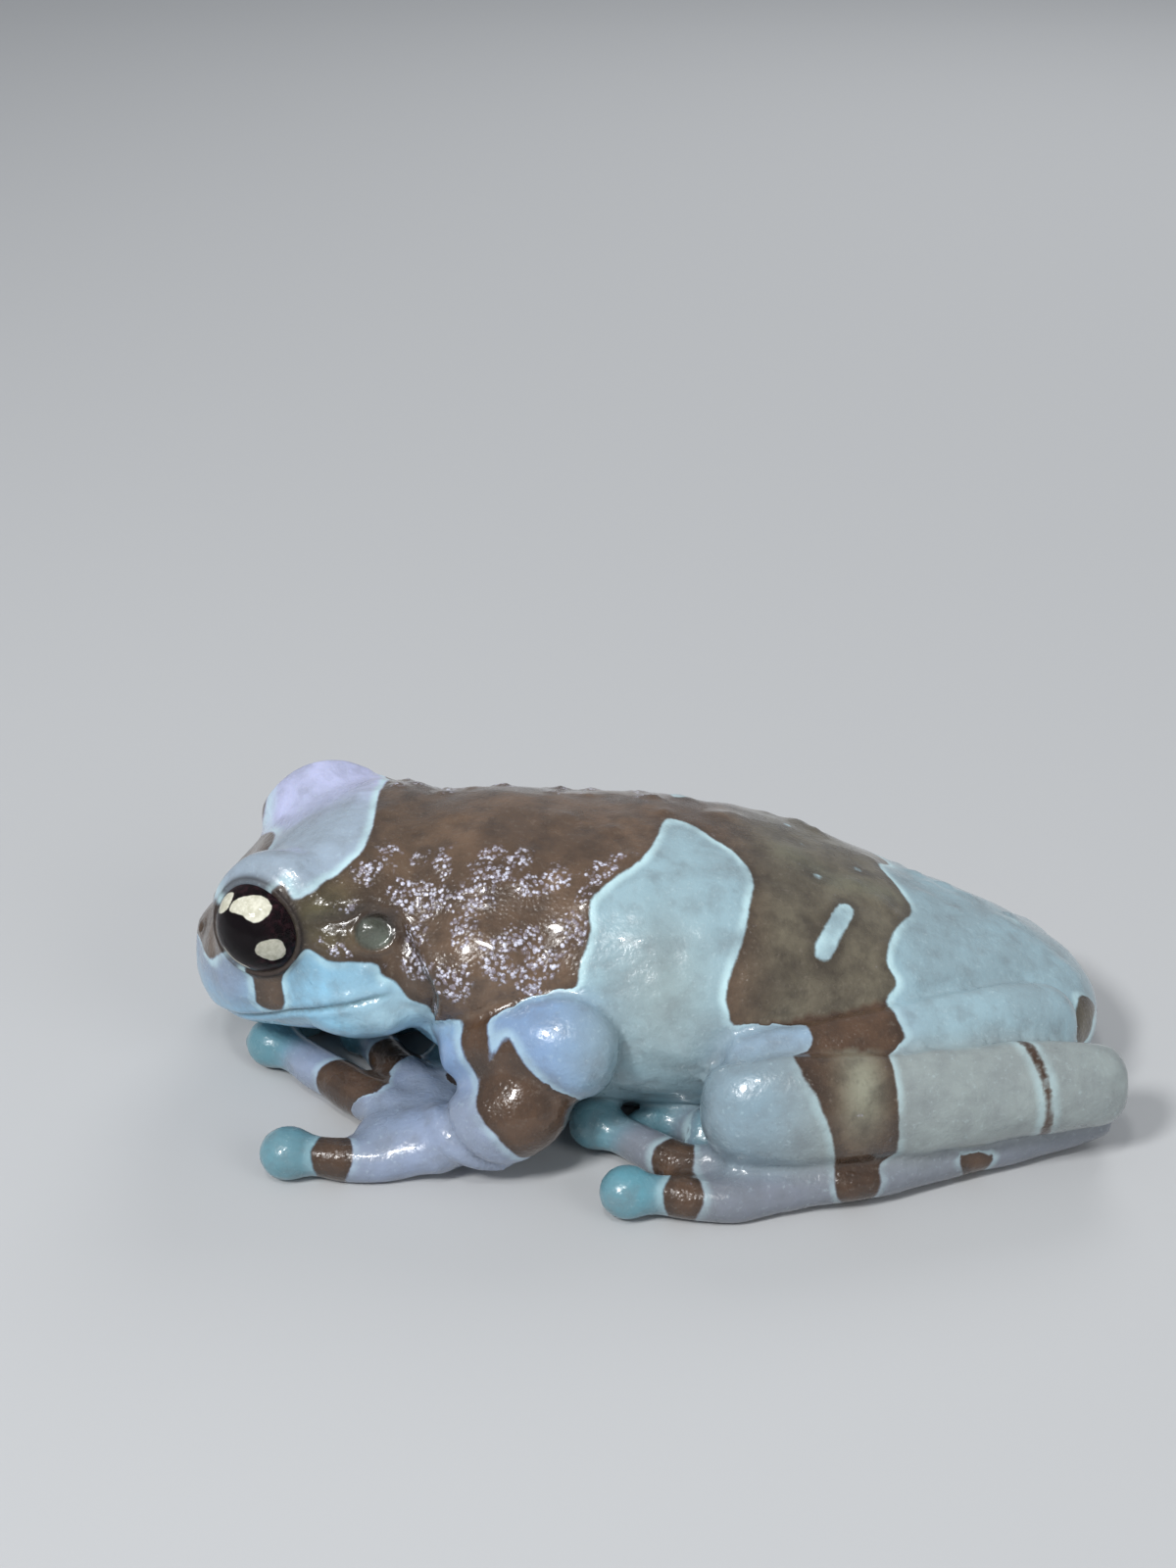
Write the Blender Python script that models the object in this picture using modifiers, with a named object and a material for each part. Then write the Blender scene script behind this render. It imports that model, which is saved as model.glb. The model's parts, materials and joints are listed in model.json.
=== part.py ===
"""Amazon milk frog at rest, legs folded against its sides, as a life-size still model.

The frog faces -X, its left side is -Y and it lies on the floor at Z = 0. Every size below is in
millimetres and is turned into metres as a shape is made. The body is modelled whole, as rounded lofts
that are fused and smoothed, and is parted at the neck. Each limb piece is then trimmed by the pieces
that it lies against, so that all of them meet face to face with one thin gap.
"""

import math

import bmesh
import bpy
from mathutils import Matrix, Vector
from mathutils.bvhtree import BVHTree

# Driving dimensions of the whole animal, in millimetres
MM = 0.001
SNOUT_VENT = 62.0
BODY_HEIGHT = 0.33 * SNOUT_VENT
BODY_HALF_WIDTH = 0.21 * SNOUT_VENT
HEAD_HALF_WIDTH = 0.175 * SNOUT_VENT
EYE_RADIUS = 0.055 * SNOUT_VENT
PAD_RADIUS = 0.0335 * SNOUT_VENT
DIGIT_RADIUS = 0.0255 * SNOUT_VENT

# How the pieces meet one another and the floor
GAP = 0.32
BELLY_SINK = 0.7

# Skin colours, as linear red, green and blue
BROWN = (0.085, 0.052, 0.030)
PALE = (0.36, 0.47, 0.50)
PAD_TEAL = (0.12, 0.33, 0.32)
EYE_BLACK = (0.010, 0.006, 0.008)

# Triangles that each finished form is reduced to before it is trimmed
BODY_TRIANGLES = 4000
FORM_TRIANGLES = {
    "upper_arm": 300,
    "forearm": 300,
    "hand": 1020,
    "thigh": 370,
    "shank": 440,
    "foot": 1080,
}


def clear_scene():
    for old in list(bpy.data.objects):
        bpy.data.objects.remove(old, do_unlink=True)


def new_collection(name, parent=None):
    made = bpy.data.collections.new(name)
    (parent or bpy.context.scene.collection).children.link(made)
    return made


def skin_material(name, colour, roughness):
    material = bpy.data.materials.new(name)
    material.use_nodes = True
    shader = material.node_tree.nodes["Principled BSDF"]
    shader.inputs["Base Color"].default_value = (*colour, 1.0)
    shader.inputs["Roughness"].default_value = roughness
    shader.inputs["Metallic"].default_value = 0.0
    return material


def between(low, high, share):
    return low + (high - low) * share


def smooth_path(values, share):
    """A Catmull-Rom curve through values, each a number or a Vector, read at share from 0 to 1."""
    spans = len(values) - 1
    place = min(max(share, 0.0), 1.0) * spans
    index = min(int(place), spans - 1)
    t = place - index
    before = values[max(index - 1, 0)]
    start, end = values[index], values[index + 1]
    after = values[min(index + 2, spans)]
    return (
        start * 2
        + (end - before) * t
        + (before * 2 - start * 5 + end * 4 - after) * t**2
        + (start * 3 - before - end * 3 + after) * t**3
    ) * 0.5


def superellipse(angle, power):
    """The unit superellipse at angle, as (across, up)."""
    across, up = math.cos(angle), math.sin(angle)
    return (
        math.copysign(abs(across) ** (2 / power), across),
        math.copysign(abs(up) ** (2 / power), up),
    )


def rounded_end(distance, radius):
    """How full a section is, this far from a domed end."""
    inside = 1.0 - min(distance / max(radius, 1e-6), 1.0)
    return math.sqrt(max(0.0, 1.0 - inside**2))


def loft(name, stations, sides=20, rings=26, power_up=2.0, power_down=2.0, group=None):
    """A rounded form along a spine. Each station is (centre, half width, half height), in millimetres."""
    centres = [Vector(centre) for centre, _, _ in stations]
    widths = [float(width) for _, width, _ in stations]
    heights = [float(height) for _, _, height in stations]
    length = sum((b - a).length for a, b in zip(centres, centres[1:]))
    form = bmesh.new()
    bmesh.ops.create_uvsphere(form, u_segments=sides, v_segments=rings, radius=1.0)
    for vertex in form.verts:
        share = (1.0 - vertex.co.z) / 2
        angle = math.atan2(vertex.co.y, vertex.co.x)
        centre = smooth_path(centres, share)
        ahead = smooth_path(centres, min(share + 0.02, 1.0))
        behind = smooth_path(centres, max(share - 0.02, 0.0))
        along = (ahead - behind).normalized()
        side = along.cross(Vector((0, 0, 1)))
        side = side.normalized() if side.length > 0.05 else Vector((0, 1, 0))
        upward = side.cross(along)
        half_width = smooth_path(widths, share)
        half_height = smooth_path(heights, share)
        end_radius = between(half_width, half_height, 0.5)
        full = rounded_end(share * length, end_radius) * rounded_end((1 - share) * length, end_radius)
        across, up = superellipse(angle, power_up if math.sin(angle) > 0 else power_down)
        offset = side * (across * half_width * full) + upward * (up * half_height * full)
        vertex.co = (centre + offset) * MM
    bmesh.ops.recalc_face_normals(form, faces=form.faces)
    return object_from(form, name, group)


def ball(name, centre, radii, turn=None, group=None, segments=20):
    """An ellipsoid of these three radii, turned by a rotation matrix about its centre."""
    form = bmesh.new()
    bmesh.ops.create_uvsphere(form, u_segments=segments, v_segments=segments // 2 + 2, radius=1.0)
    place = Matrix.Translation(Vector(centre) * MM) @ (turn or Matrix.Identity(3)).to_4x4()
    bmesh.ops.transform(form, matrix=place @ Matrix.Diagonal(Vector(radii) * MM).to_4x4(), verts=form.verts)
    return object_from(form, name, group)


def block(name, low, high, group=None):
    """A box between two corners."""
    low, high = Vector(low) * MM, Vector(high) * MM
    form = bmesh.new()
    bmesh.ops.create_cube(form, size=1.0)
    place = Matrix.Translation((low + high) / 2) @ Matrix.Diagonal(high - low).to_4x4()
    bmesh.ops.transform(form, matrix=place, verts=form.verts)
    return object_from(form, name, group)


def object_from(form, name, group):
    mesh = bpy.data.meshes.new(name)
    form.to_mesh(mesh)
    form.free()
    made = bpy.data.objects.new(name, mesh)
    (group or bpy.context.scene.collection).objects.link(made)
    return made


def wire(name, points, radius, group, ring=False):
    """A round wire through points, as a closed mesh."""
    curve = bpy.data.curves.new(name, "CURVE")
    curve.dimensions = "3D"
    curve.bevel_depth = radius * MM
    curve.bevel_resolution = 1
    curve.use_fill_caps = True
    spline = curve.splines.new("POLY")
    spline.points.add(len(points) - 1)
    spline.use_cyclic_u = ring
    for target, point in zip(spline.points, points):
        target.co = (*(Vector(point) * MM), 1.0)
    drawn = bpy.data.objects.new(name + "_line", curve)
    group.objects.link(drawn)
    graph = bpy.context.evaluated_depsgraph_get()
    mesh = bpy.data.meshes.new_from_object(drawn.evaluated_get(graph))
    bpy.data.objects.remove(drawn, do_unlink=True)
    form = bmesh.new()
    form.from_mesh(mesh)
    bmesh.ops.remove_doubles(form, verts=form.verts, dist=1e-6)
    bmesh.ops.recalc_face_normals(form, faces=form.faces)
    return object_from(form, name, group)


def bake(obj):
    """Puts the result of an object's modifiers in its mesh."""
    graph = bpy.context.evaluated_depsgraph_get()
    mesh = bpy.data.meshes.new_from_object(obj.evaluated_get(graph))
    obj.modifiers.clear()
    obj.data = mesh
    return obj


def boolean(obj, operation, operand, solver="MANIFOLD"):
    """Joins or cuts obj with another object, or with every object of a collection."""
    change = obj.modifiers.new(operation.lower(), "BOOLEAN")
    change.operation = operation
    change.solver = solver
    if isinstance(operand, bpy.types.Collection):
        change.operand_type = "COLLECTION"
        change.collection = operand
    else:
        change.object = operand
    return bake(obj)


def fuse(name, group):
    """One solid from every object of a collection, which is then removed."""
    pieces = list(group.objects)
    first = pieces[0]
    bpy.context.scene.collection.objects.link(first)
    group.objects.unlink(first)
    if pieces[1:]:
        boolean(first, "UNION", group)
    for piece in pieces[1:]:
        bpy.data.objects.remove(piece, do_unlink=True)
    bpy.data.collections.remove(group)
    first.name = name
    return first


def soften(obj, voxel, passes):
    """Blends the joints of a fused form: an even mesh of this voxel size, in millimetres, smoothed."""
    remesh = obj.modifiers.new("even", "REMESH")
    remesh.mode = "VOXEL"
    remesh.voxel_size = voxel * MM
    smooth = obj.modifiers.new("smooth", "SMOOTH")
    smooth.factor = 0.5
    smooth.iterations = passes
    return bake(obj)


def reduce_to(obj, triangles):
    """Collapses edges until about this many triangles are left."""
    count = sum(len(face.vertices) - 2 for face in obj.data.polygons)
    reduce = obj.modifiers.new("reduce", "DECIMATE")
    reduce.ratio = min(1.0, triangles / count)
    reduce.use_collapse_triangulate = True
    return bake(obj)


def keep_largest(obj):
    """Drops every loose scrap that a cut has left, and keeps the largest closed surface."""
    form = bmesh.new()
    form.from_mesh(obj.data)
    unseen = set(form.verts)
    surfaces = []
    while unseen:
        reached = [unseen.pop()]
        for vertex in reached:
            for edge in vertex.link_edges:
                other = edge.other_vert(vertex)
                if other in unseen:
                    unseen.remove(other)
                    reached.append(other)
        surfaces.append(reached)
    surfaces.sort(key=len, reverse=True)
    for scrap in surfaces[1:]:
        bmesh.ops.delete(form, geom=scrap, context="VERTS")
    form.to_mesh(obj.data)
    form.free()
    return obj


def grown_copy(obj, distance):
    """A helper copy of obj whose surface stands this far outside it."""
    copy = bpy.data.objects.new(obj.name + "_grown", obj.data.copy())
    bpy.context.scene.collection.objects.link(copy)
    copy.hide_render = True
    copy.display_type = "WIRE"
    grow = copy.modifiers.new("grow", "DISPLACE")
    grow.mid_level = 0.0
    grow.strength = distance * MM
    return bake(copy)


def box_of(obj):
    corners = [obj.matrix_world @ vertex.co for vertex in obj.data.vertices]
    low = Vector(min(corner[axis] for corner in corners) for axis in range(3))
    high = Vector(max(corner[axis] for corner in corners) for axis in range(3))
    return low, high


def boxes_meet(first, second, margin):
    (low_a, high_a), (low_b, high_b) = box_of(first), box_of(second)
    return all(
        low_a[axis] < high_b[axis] + margin and low_b[axis] < high_a[axis] + margin for axis in range(3)
    )


def trim(obj, neighbours):
    """Cuts obj clear of its finished neighbours and of the floor."""
    for neighbour in neighbours:
        if boxes_meet(obj, neighbour, GAP * MM):
            cutter = grown_copy(neighbour, GAP)
            boolean(obj, "DIFFERENCE", cutter)
            bpy.data.objects.remove(cutter, do_unlink=True)
    under = block("under_floor", (-90, -60, -30), (90, 60, 0))
    boolean(obj, "DIFFERENCE", under)
    bpy.data.objects.remove(under, do_unlink=True)
    return keep_largest(obj)


# Torso, from inside the head to the vent: place along the body, top, underside and half width
TORSO_SECTIONS = [
    (-21.0, 0.94, 6.0, 0.62),
    (-15.5, 1.03, 3.6, 0.80),
    (-9.5, 0.985, 1.2, 0.92),
    (-3.5, 0.955, -BELLY_SINK, 0.985),
    (2.5, 0.92, -BELLY_SINK, 1.0),
    (9.0, 0.82, -BELLY_SINK, 0.96),
    (15.5, 0.69, -BELLY_SINK, 0.85),
    (21.5, 0.575, 0.2, 0.72),
    (27.0, 0.44, 0.8, 0.56),
    (30.7, 0.31, 1.8, 0.34),
]


def add_torso(group):
    stations = []
    for along, top, underside, width in TORSO_SECTIONS:
        high = top * BODY_HEIGHT
        centre = (along, 0.0, (high + underside) / 2)
        stations.append((centre, width * BODY_HALF_WIDTH, (high - underside) / 2))
    loft("torso_mass", stations, sides=28, rings=40, power_up=2.15, power_down=1.9, group=group)
    for side in (-1, 1):
        ball("shoulder", (-11.5, side * 8.4, 12.6), (5.6, 3.6, 4.4), group=group)
        ball("hip", (21.6, side * 6.0, 6.2), (7.2, 3.2, 2.7), group=group)


# Head, along its own forward axis from the neck: distance forward, top, underside, half width
NECK = Vector((-14.0, 0.4, 0.0))
HEAD_YAW = math.radians(-8.0)
HEAD_SECTIONS = [
    (-4.0, 21.2, 4.6, 0.92),
    (1.5, 21.5, 4.3, 1.02),
    (6.0, 20.0, 4.2, 1.01),
    (10.0, 17.6, 4.2, 0.95),
    (13.6, 14.5, 4.2, 0.83),
    (16.2, 12.7, 4.3, 0.67),
    (18.3, 11.6, 4.7, 0.53),
]
EYE_FORWARD, EYE_SIDE, EYE_UP = 11.5, 7.7, 14.7
BROW_RADIUS = EYE_RADIUS + 0.9
LID_RADIUS = EYE_RADIUS + 0.75
EYE_AXIS = Vector((-0.30, 0.90, 0.30)).normalized()
EAR_FORWARD, EAR_UP, EAR_RADIUS = 3.9, 14.9, 1.55
NOSTRIL_FORWARD, NOSTRIL_UP = 17.6, 10.9

# Line of the mouth: height above the floor at each angle round the head, from straight ahead
MOUTH_CENTRE = 7.0
MOUTH_HEIGHTS = [5.9, 6.0, 6.5, 7.6, 9.2, 10.6, 11.6]
MOUTH_CORNER = math.radians(112.0)


def head_point(forward, sideways, up):
    """A point of the head, from its own axes to the body's."""
    turned = Matrix.Rotation(HEAD_YAW, 3, "Z") @ Vector((-forward, sideways, 0.0))
    return NECK + turned + Vector((0.0, 0.0, up))


def head_turn(direction):
    return Matrix.Rotation(HEAD_YAW, 3, "Z") @ direction


def add_head(group):
    stations = []
    for forward, top, underside, width in HEAD_SECTIONS:
        centre = head_point(forward, 0.0, (top + underside) / 2)
        stations.append((centre, width * HEAD_HALF_WIDTH, (top - underside) / 2))
    loft("skull", stations, sides=28, rings=34, power_up=2.3, power_down=2.2, group=group)
    for side in (-1, 1):
        brow = head_point(EYE_FORWARD - 0.8, side * (EYE_SIDE - 0.5), EYE_UP + 0.55)
        ball("brow", brow, [BROW_RADIUS] * 3, group=group)
        ball("lid", head_point(EYE_FORWARD, side * EYE_SIDE, EYE_UP), [LID_RADIUS] * 3, group=group)
        ball("cheek", head_point(5.0, side * 8.2, 10.4), (5.0, 3.2, 3.6), group=group)
        ball("nostril_rise", head_point(17.0, side * 2.3, 11.0), (1.5, 1.2, 1.1), group=group)


def on_surface(tree, inside, direction):
    """The last point of a surface that a ray from inside it reaches."""
    start = (inside + direction * 40) * MM
    hit = tree.ray_cast(start, -direction)[0]
    return hit / MM


def cut_mouth(head, tree, group):
    """The line of the mouth, as a fine groove round the snout from corner to corner."""
    points = []
    for step in range(29):
        angle = between(-MOUTH_CORNER, MOUTH_CORNER, step / 28)
        up = smooth_path(MOUTH_HEIGHTS, abs(angle) / MOUTH_CORNER)
        outward = head_turn(Vector((-math.cos(angle), math.sin(angle), 0.0)))
        points.append(on_surface(tree, head_point(MOUTH_CENTRE, 0.0, up), outward))
    line = wire("mouth_line", points, 0.3, group)
    boolean(head, "DIFFERENCE", line, solver="EXACT")
    bpy.data.objects.remove(line, do_unlink=True)


def eye_direction(side):
    return head_turn(Vector((EYE_AXIS.x, EYE_AXIS.y * side, EYE_AXIS.z)))


def open_eyes(head, group):
    """Sockets for the eyeballs, and the oval openings between the lids."""
    for side in (-1, 1):
        centre = head_point(EYE_FORWARD, side * EYE_SIDE, EYE_UP)
        outward = eye_direction(side)
        socket = ball("socket", centre, [EYE_RADIUS + GAP] * 3, group=group, segments=20)
        boolean(head, "DIFFERENCE", socket, solver="EXACT")
        bpy.data.objects.remove(socket, do_unlink=True)
        turn = outward.to_track_quat("Z", "Y").to_matrix()
        window_centre = centre + outward * (EYE_RADIUS - 0.9)
        window = ball("window", window_centre, (3.45, 3.5, 2.6), turn=turn, group=group, segments=20)
        boolean(head, "DIFFERENCE", window, solver="EXACT")
        bpy.data.objects.remove(window, do_unlink=True)


def cut_ears_and_nostrils(head, tree, group):
    """A shallow ring round each eardrum and a pit for each nostril."""
    for side in (-1, 1):
        outward = head_turn(Vector((0.0, side, 0.25))).normalized()
        centre = on_surface(tree, head_point(EAR_FORWARD, 0.0, EAR_UP - 2.0), outward)
        turn = outward.to_track_quat("Z", "Y").to_matrix()
        ring = []
        for step in range(14):
            angle = math.tau * step / 14
            edge = centre + turn @ Vector((math.cos(angle), math.sin(angle) * 0.88, 0.0)) * EAR_RADIUS
            ring.append(on_surface(tree, edge - outward * 3, outward))
        groove = wire("ear_ring", ring, 0.26, group, ring=True)
        boolean(head, "DIFFERENCE", groove, solver="EXACT")
        bpy.data.objects.remove(groove, do_unlink=True)
        ahead = head_turn(Vector((-0.8, side * 0.5, 0.1))).normalized()
        opening = on_surface(tree, head_point(NOSTRIL_FORWARD - 4, side * 1.0, NOSTRIL_UP), ahead)
        pit = ball("nostril", opening, [0.42] * 3, group=group, segments=10)
        boolean(head, "DIFFERENCE", pit, solver="EXACT")
        bpy.data.objects.remove(pit, do_unlink=True)


def make_body(cutters):
    """The head and torso, fused, smoothed and parted at the neck. Returns both."""
    forms = new_collection("body_forms")
    add_torso(forms)
    add_head(forms)
    whole = fuse("torso", forms)
    soften(whole, voxel=0.55, passes=7)
    reduce_to(whole, BODY_TRIANGLES)
    head = bpy.data.objects.new("head", whole.data.copy())
    bpy.context.scene.collection.objects.link(head)
    turn = Matrix.Rotation(HEAD_YAW / 2, 4, "Z")
    for part, low, high in (
        (whole, (-60, -40, -20), (GAP / 2, 40, 60)),
        (head, (-GAP / 2, -40, -20), (90, 40, 60)),
    ):
        cutter = block("neck_cut", low, high, group=cutters)
        cutter.data.transform(Matrix.Translation(NECK * MM) @ turn)
        boolean(part, "DIFFERENCE", cutter)
        bpy.data.objects.remove(cutter, do_unlink=True)
        trim(part, [])
    form = bmesh.new()
    form.from_mesh(head.data)
    tree = BVHTree.FromBMesh(form)
    form.free()
    open_eyes(head, cutters)
    cut_ears_and_nostrils(head, tree, cutters)
    cut_mouth(head, tree, cutters)
    keep_largest(head)
    return head, whole


def make_eye(name, side):
    centre = head_point(EYE_FORWARD, side * EYE_SIDE, EYE_UP)
    outward = eye_direction(side)
    turn = outward.to_track_quat("Z", "Y").to_matrix()
    group = new_collection(name + "_forms")
    ball("globe", centre, [EYE_RADIUS] * 3, group=group, segments=20)
    ball("cornea", centre + outward * 0.75, [EYE_RADIUS * 0.84] * 3, turn=turn, group=group, segments=20)
    return fuse(name, group)


# Limbs are given for the left side, which is -Y. Each station is (centre, half width, half height).
LIMB_STATIONS = {
    "upper_arm": [
        ((-14.6, -8.6, 7.4), 2.2, 2.4),
        ((-11.4, -11.0, 8.4), 2.9, 2.9),
        ((-7.0, -12.3, 9.3), 3.8, 3.8),
        ((-2.8, -12.2, 9.0), 3.6, 3.6),
    ],
    "forearm": [
        ((-7.0, -13.2, 7.4), 2.6, 2.8),
        ((-8.8, -13.9, 5.9), 2.9, 3.2),
        ((-11.4, -13.9, 4.2), 2.9, 3.1),
        ((-14.8, -13.0, 2.8), 2.5, 2.4),
    ],
    "hand": [
        ((-12.8, -13.2, 2.6), 2.6, 2.4),
        ((-15.6, -12.7, 2.1), 3.2, 2.1),
        ((-18.2, -11.9, 1.7), 2.9, 1.7),
        ((-20.4, -10.6, 1.4), 1.9, 1.2),
    ],
    "thigh": [
        ((28.2, -5.0, 6.0), 3.4, 4.0),
        ((20.5, -8.4, 6.8), 4.2, 4.3),
        ((12.8, -11.2, 7.3), 3.8, 4.1),
        ((7.4, -12.9, 7.5), 3.2, 3.6),
        ((3.6, -14.2, 7.2), 2.6, 3.0),
    ],
    "shank": [
        ((2.2, -15.2, 6.4), 3.2, 3.9),
        ((8.0, -15.2, 6.3), 3.5, 4.4),
        ((14.6, -14.2, 5.9), 3.4, 4.2),
        ((21.6, -13.0, 6.1), 3.0, 3.7),
        ((27.0, -12.1, 5.9), 2.6, 3.2),
        ((30.7, -11.5, 5.6), 2.2, 2.7),
    ],
    "foot": [
        ((30.2, -9.8, 2.7), 1.9, 2.0),
        ((25.6, -11.0, 1.9), 1.9, 1.9),
        ((19.0, -13.6, 1.9), 2.0, 1.9),
        ((12.6, -15.6, 1.8), 2.6, 1.9),
        ((6.2, -16.0, 1.5), 2.9, 1.5),
    ],
}
FINGERS = {
    "first": ([(-12.8, -10.8, 1.7), (-14.0, -6.2, 1.4), (-14.9, -2.4, 1.5)], 0.84),
    "second": ([(-14.4, -10.8, 2.0), (-17.6, -4.8, 1.9), (-21.0, 1.0, 1.7)], 0.95),
    "third": ([(-15.6, -11.6, 2.0), (-21.4, -6.0, 1.6), (-27.1, -0.5, 1.8)], 1.0),
    "fourth": ([(-15.0, -13.6, 1.7), (-19.6, -14.0, 1.3), (-24.7, -13.7, 1.6)], 0.97),
}
TOES = {
    "first": ([(12.6, -13.4, 1.6), (9.6, -11.8, 1.3), (7.4, -11.0, 1.4)], 0.78),
    "second": ([(11.0, -14.2, 1.6), (6.6, -12.0, 1.3), (3.2, -11.1, 1.5)], 0.86),
    "third": ([(9.4, -14.6, 1.7), (4.4, -11.6, 1.3), (-0.6, -9.4, 1.5)], 0.74),
    "fourth": ([(8.0, -16.0, 1.7), (1.2, -14.8, 1.5), (-4.3, -10.7, 1.9)], 0.96),
    "fifth": ([(9.6, -16.9, 1.5), (3.8, -18.4, 1.3), (-2.2, -18.1, 1.7)], 0.95),
}
WEB_THICKNESS = 0.9
HAND_WEB_REACH, FOOT_WEB_REACH = 0.34, 0.58

# The right side mirrors the left, then each piece is moved by this much, so the two are not twins
RIGHT_SHIFT = {
    "upper_arm": (-0.8, -0.8, -0.4),
    "forearm": (-0.8, -0.6, 0.0),
    "hand": (1.0, -0.4, 0.0),
    "thigh": (-1.5, -1.2, -1.8),
    "shank": (-3.0, -1.6, -2.4),
    "foot": (-3.0, 0.8, 0.0),
}
RIGHT_TURN = {"hand": math.radians(-26.0), "foot": math.radians(-9.0)}


def placed(kind, point, side):
    """A left-side point as it stands, or carried over to the right side."""
    place = Vector(point)
    if side < 0:
        return place
    mirrored = Vector((place.x, -place.y, place.z))
    if kind in RIGHT_TURN:
        start = LIMB_STATIONS[kind][0][0]
        pivot = Vector((start[0], -start[1], start[2]))
        mirrored = pivot + Matrix.Rotation(RIGHT_TURN[kind], 3, "Z") @ (mirrored - pivot)
    return mirrored + Vector(RIGHT_SHIFT[kind])


def digit(name, points, scale, group):
    """A finger or toe: a slightly waisted tube that ends in a round climbing pad."""
    radius = DIGIT_RADIUS * scale
    base, middle, tip = points
    stations = [
        (base, radius * 1.15, radius * 1.08),
        (between(base, middle, 0.5), radius * 1.08, radius * 1.02),
        (middle, radius * 1.08, radius * 1.02),
        (between(middle, tip, 0.55), radius * 0.94, radius * 0.92),
        (tip, radius * 0.84, radius * 0.86),
    ]
    loft(name, stations, sides=14, rings=18, group=group)
    along = (tip - middle).normalized()
    turn = along.to_track_quat("X", "Z").to_matrix()
    pad = PAD_RADIUS * scale
    ball(name + "_pad", tip + along * pad * 0.1, (pad * 1.02, pad, pad * 0.92), turn=turn, group=group)


def web(name, first, second, reach, group):
    """A flat skin between two digits, out to a share of their length."""
    steps = [reach * step / 4 for step in range(5)]
    near = [smooth_path(first, share) for share in steps]
    far = [smooth_path(second, share) for share in steps]
    edge = between((near[-1] + far[-1]) / 2, (near[0] + far[0]) / 2, 0.25)
    form = bmesh.new()
    outline = near + [edge] + far[::-1]
    top = [form.verts.new(Vector((c.x, c.y, 0.8 + WEB_THICKNESS)) * MM) for c in outline]
    made = bmesh.ops.extrude_face_region(form, geom=[form.faces.new(top)])
    lower = [v for v in made["geom"] if isinstance(v, bmesh.types.BMVert)]
    bmesh.ops.translate(form, vec=Vector((0, 0, -WEB_THICKNESS)) * MM, verts=lower)
    bmesh.ops.recalc_face_normals(form, faces=form.faces)
    return object_from(form, name, group)


def make_limb(kind, side):
    """One piece of an arm or leg as a single rounded solid, before it is trimmed."""
    forms = new_collection(kind + "_forms")
    stations = [(placed(kind, centre, side), wide, high) for centre, wide, high in LIMB_STATIONS[kind]]
    loft(kind + "_mass", stations, sides=20, rings=24, group=forms)
    digits = {"hand": FINGERS, "foot": TOES}.get(kind, {})
    reach = HAND_WEB_REACH if kind == "hand" else FOOT_WEB_REACH
    rows = []
    for name, (points, scale) in digits.items():
        rows.append([placed(kind, point, side) for point in points])
        digit(f"{kind}_{name}", rows[-1], scale, forms)
    for number, (one, other) in enumerate(zip(rows, rows[1:])):
        web(f"{kind}_web_{number}", one, other, reach, forms)
    voxel, passes = (0.36, 3) if digits else (0.5, 4)
    return reduce_to(soften(fuse(kind, forms), voxel, passes), FORM_TRIANGLES[kind])


def centre_on_origin(objects):
    """Moves the whole animal so that its bounding box is centred on the origin in X and Y."""
    boxes = [box_of(obj) for obj in objects]
    low = [min(box[0][axis] for box in boxes) for axis in range(2)]
    high = [max(box[1][axis] for box in boxes) for axis in range(2)]
    move = Vector((-(low[0] + high[0]) / 2, -(low[1] + high[1]) / 2, 0.0))
    for obj in objects:
        obj.data.transform(Matrix.Translation(move))


def main():
    clear_scene()
    frog = new_collection("milk_frog")
    cutters = new_collection("cutters")
    cutters.hide_render = True
    brown = skin_material("brown_skin", BROWN, 0.35)
    pale = skin_material("pale_skin", PALE, 0.32)
    teal = skin_material("pad_skin", PAD_TEAL, 0.30)
    black = skin_material("eye", EYE_BLACK, 0.08)

    head, torso = make_body(cutters)
    finished = {"torso": torso, "head": head}
    for label, side in (("left", -1), ("right", 1)):
        eye = make_eye("eye_" + label, side)
        finished[eye.name] = eye
        for kind in LIMB_STATIONS:
            limb = make_limb(kind, side)
            limb.name = f"{kind}_{label}"
            trim(limb, list(finished.values()))
            finished[limb.name] = limb

    finishes = {"torso": brown, "head": brown, "eye": black, "hand": teal, "foot": teal}
    for name, obj in finished.items():
        obj.name = name
        obj.data.materials.clear()
        obj.data.materials.append(finishes.get(name.split("_")[0], pale))
        for holder in list(obj.users_collection):
            holder.objects.unlink(obj)
        frog.objects.link(obj)
        obj.data.shade_smooth()
    centre_on_origin(list(finished.values()))


main()
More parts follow.
